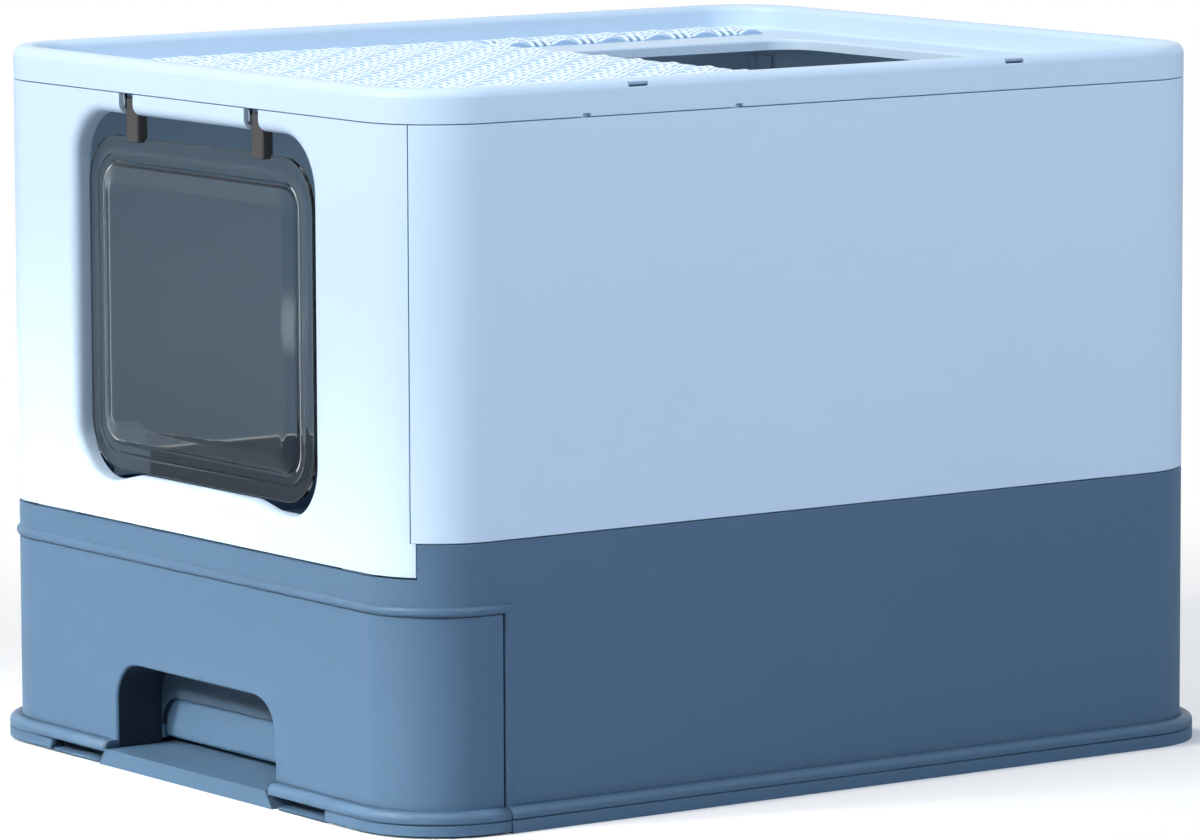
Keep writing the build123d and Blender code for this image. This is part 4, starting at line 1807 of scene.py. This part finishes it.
LAMPS = (
    Lamp(
        name="front_softbox",
        azimuth=-2.0,
        elevation=30.0,
        distance=2.6,
        size=(0.8, 0.8),
        power=52.5,
    ),
    Lamp(
        name="side_fill",
        azimuth=100.0,
        elevation=30.0,
        distance=2.6,
        size=(1.6, 1.6),
        power=26.5,
        colour=(0.86, 0.97, 1.12),
    ),
    Lamp(
        name="top_softbox",
        azimuth=0.0,
        elevation=90.0,
        distance=2.4,
        size=(1.2, 1.2),
        power=9.5,
    ),
    Lamp(
        name="low_front",
        azimuth=-15.0,
        elevation=30.0,
        distance=2.2,
        size=(0.6, 0.15),
        power=0.52,
        aim=(0.0, -0.25, 0.03),
        spread=10.0,
    ),
    Lamp(
        name="door_strip",
        azimuth=-13.2,
        elevation=0.0,
        distance=1.2,
        size=(0.22, 0.03),
        power=0.12,
        aim=(0.0, 0.0, 0.128),
    ),
)


@dataclass
class Studio:
    """Pale floor, soft lights and the camera."""

    azimuth: float = 54.634
    elevation: float = 7.261
    roll: float = -0.230
    distance: float = 3.727368
    aim: Spot = BOX_MIDDLE
    shift_right: float = 0.000756
    shift_up: float = -0.024965
    lens: float = 216.417
    sensor: float = 36.0
    floor_size: float = 30.0
    floor_roughness: float = 0.9
    floor_colour: Tint = (0.95, 0.95, 0.95)
    bounce_near: Tint = (0.46, 0.48, 0.52)
    bounce_far: Tint = (0.90, 0.92, 0.95)
    bounce_reach: tuple[float, float] = (0.4, 2.2)
    footprint: Spot = (0.204, 0.254, 0.0)
    contact_reach: float = 0.010
    shadow_reach: tuple[float, float] = (0.15, 0.65)
    shadow_share: float = 0.5
    ambient: float = 0.30
    ambient_colour: Tint = (0.92, 1.0, 1.12)

    def toward(self, azimuth: float, elevation: float) -> Vector:
        """Direction from the box.

        Args:
            azimuth: Degrees round from its front.
            elevation: Degrees up from the floor.

        Returns:
            The direction, one long.
        """
        side, lift = math.radians(azimuth), math.radians(elevation)
        level = math.cos(lift)
        return Vector((math.sin(side) * level, -math.cos(side) * level, math.sin(lift)))

    def camera(self) -> None:
        """Camera at the photograph's angle."""
        side, tilt = math.radians(self.azimuth), math.radians(self.roll)
        back = self.toward(self.azimuth, self.elevation)
        right = Vector((math.cos(side), math.sin(side), 0.0))
        up = back.cross(right)
        right, up = (
            right * math.cos(tilt) + up * math.sin(tilt),
            up * math.cos(tilt) - right * math.sin(tilt),
        )
        place = Vector(self.aim) + back * self.distance
        place += right * self.shift_right + up * self.shift_up
        data = bpy.data.cameras.new("photo_view")
        data.sensor_fit = "HORIZONTAL"
        data.sensor_width = self.sensor
        data.lens = self.lens
        data.clip_end = 2 * self.floor_size
        camera = bpy.data.objects.new("photo_view", data)
        camera.matrix_world = Matrix((right, up, back)).transposed().to_4x4()
        camera.location = place
        bpy.context.scene.collection.objects.link(camera)
        bpy.context.scene.camera = camera

    def seen(self, tree: bpy.types.NodeTree, *also: str) -> bpy.types.NodeSocket:
        """Value that is 1 for what the camera sees directly or by other rays.

        Args:
            tree: Node tree to work in.
            also: Outputs of the light path that count as well.

        Returns:
            The socket that gives the value.
        """
        rays = tree.nodes.new("ShaderNodeLightPath")
        sight = rays.outputs["Is Camera Ray"]
        for ray in also:
            most = tree.nodes.new("ShaderNodeMath")
            most.operation = "MAXIMUM"
            tree.links.new(sight, most.inputs[0])
            tree.links.new(rays.outputs[ray], most.inputs[1])
            sight = most.outputs[0]
        return sight

    def off_footprint(self, tree: bpy.types.NodeTree) -> bpy.types.NodeSocket:
        """Distance over the floor from the box's footprint.

        Args:
            tree: Node tree to work in.

        Returns:
            The socket that gives the distance.
        """
        spot = tree.nodes.new("ShaderNodeTexCoord").outputs["Object"]
        for operation, amount in (
            ("ABSOLUTE", None),
            ("SUBTRACT", self.footprint),
            ("MAXIMUM", (0.0, 0.0, 0.0)),
            ("LENGTH", None),
        ):
            step = tree.nodes.new("ShaderNodeVectorMath")
            step.operation = operation
            if amount:
                step.inputs[1].default_value = amount
            tree.links.new(spot, step.inputs[0])
            spot = step.outputs["Value" if operation == "LENGTH" else "Vector"]
        return spot

    def floor_material(self) -> bpy.types.Material:
        """Pale floor that keeps the box's soft shadow and turns plain white further off.

        Returns:
            The new material.
        """
        material = bpy.data.materials.new("pale_floor")
        material.use_nodes = True
        tree = material.node_tree
        nodes, link = tree.nodes, tree.links.new
        sight = self.seen(tree, "Is Transmission Ray")
        shader = nodes["Principled BSDF"]
        shader.inputs["Roughness"].default_value = self.floor_roughness
        shader.inputs["Specular IOR Level"].default_value = 0.0
        bounce, colour = (nodes.new("ShaderNodeMix") for _ in range(2))
        for mix in (bounce, colour):
            mix.data_type = "RGBA"
        bounce.inputs["A"].default_value = (*self.bounce_near, 1.0)
        bounce.inputs["B"].default_value = (*self.bounce_far, 1.0)
        colour.inputs["B"].default_value = (*self.floor_colour, 1.0)
        spot = self.off_footprint(tree)
        contact, reach, spread = (nodes.new("ShaderNodeMapRange") for _ in range(3))
        for ramp, ends in (
            (contact, (0.0, self.contact_reach)),
            (reach, self.shadow_reach),
            (spread, self.bounce_reach),
        ):
            ramp.interpolation_type = "SMOOTHSTEP"
            ramp.inputs["From Min"].default_value, ramp.inputs["From Max"].default_value = ends
            link(spot, ramp.inputs["Value"])
        reach.inputs["To Min"].default_value = 1.0 - self.shadow_share
        clear, share = (nodes.new("ShaderNodeMath") for _ in range(2))
        for product in (clear, share):
            product.operation = "MULTIPLY"
        glow = nodes.new("ShaderNodeEmission")
        blend = nodes.new("ShaderNodeMixShader")
        link(spread.outputs["Result"], bounce.inputs["Factor"])
        link(bounce.outputs["Result"], colour.inputs["A"])
        link(sight, colour.inputs["Factor"])
        link(colour.outputs["Result"], shader.inputs["Base Color"])
        link(contact.outputs["Result"], clear.inputs[0])
        link(reach.outputs["Result"], clear.inputs[1])
        link(clear.outputs[0], share.inputs[0])
        link(sight, share.inputs[1])
        link(share.outputs[0], blend.inputs["Fac"])
        link(shader.outputs["BSDF"], blend.inputs[1])
        link(glow.outputs["Emission"], blend.inputs[2])
        link(blend.outputs["Shader"], nodes["Material Output"].inputs["Surface"])
        return material

    def floor(self) -> None:
        """Floor under the box, which isn't part of it."""
        half = self.floor_size / 2
        mesh = bpy.data.meshes.new("floor")
        corners = [(sx * half, sy * half, 0.0) for sx, sy in ((-1, -1), (1, -1), (1, 1), (-1, 1))]
        mesh.from_pydata(corners, [], [(0, 1, 2, 3)])
        mesh.materials.append(self.floor_material())
        floor = bpy.data.objects.new("floor", mesh)
        bpy.context.scene.collection.objects.link(floor)

    def world(self) -> None:
        """Even light from all round, white where the camera, gloss or the flap sees it."""
        world = bpy.data.worlds.new("studio")
        world.use_nodes = True
        nodes, link = world.node_tree.nodes, world.node_tree.links.new
        ground = nodes["Background"]
        colour = nodes.new("ShaderNodeMix")
        colour.data_type = "RGBA"
        tint = [self.ambient * part for part in self.ambient_colour]
        colour.inputs["A"].default_value = (*tint, 1.0)
        colour.inputs["B"].default_value = (1.0, 1.0, 1.0, 1.0)
        sight = self.seen(world.node_tree, "Is Glossy Ray", "Is Transmission Ray")
        link(sight, colour.inputs["Factor"])
        link(colour.outputs["Result"], ground.inputs["Color"])
        bpy.context.scene.world = world

    def lamp(self, lamp: Lamp) -> None:
        """Places one lamp so that it faces its aim.

        Args:
            lamp: The lamp.
        """
        data = bpy.data.lights.new(lamp.name, "AREA")
        data.shape = "RECTANGLE"
        data.size, data.size_y = lamp.size
        data.energy = lamp.power
        data.color = lamp.colour
        data.spread = math.radians(lamp.spread)
        made = bpy.data.objects.new(lamp.name, data)
        away = self.toward(lamp.azimuth, lamp.elevation)
        made.location = Vector(lamp.aim) + away * lamp.distance
        made.rotation_euler = away.to_track_quat("Z", "Y").to_euler()
        bpy.context.scene.collection.objects.link(made)

    def build(self) -> None:
        """Sets the stage."""
        bpy.context.scene.view_settings.view_transform = "Standard"
        self.camera()
        self.floor()
        self.world()
        for lamp in LAMPS:
            self.lamp(lamp)


def main() -> None:
    """Loads the frame, builds each sub-assembly and sets the stage; each piece logs its face count."""
    logging.basicConfig(level=logging.INFO, format="%(name)s: %(message)s")
    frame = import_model()
    walls = Walls()
    panels = Panels(walls)
    base = Base(walls)
    drawer = Drawer(walls, base)
    lid = Lid(walls)
    base.build(panels)
    drawer.build_front()
    drawer.build_tray()
    FrontPanel(panels).build()
    panels.build_rear()
    for side in Side:
        panels.build_side(side)
    Door().build()
    lid.build_cover()
    lid.build_grates()
    base.dress_floor(frame["nodes"]["base_floor"])
    Studio().build()
    bpy.context.view_layer.update()


if __name__ == "__main__":
    main()
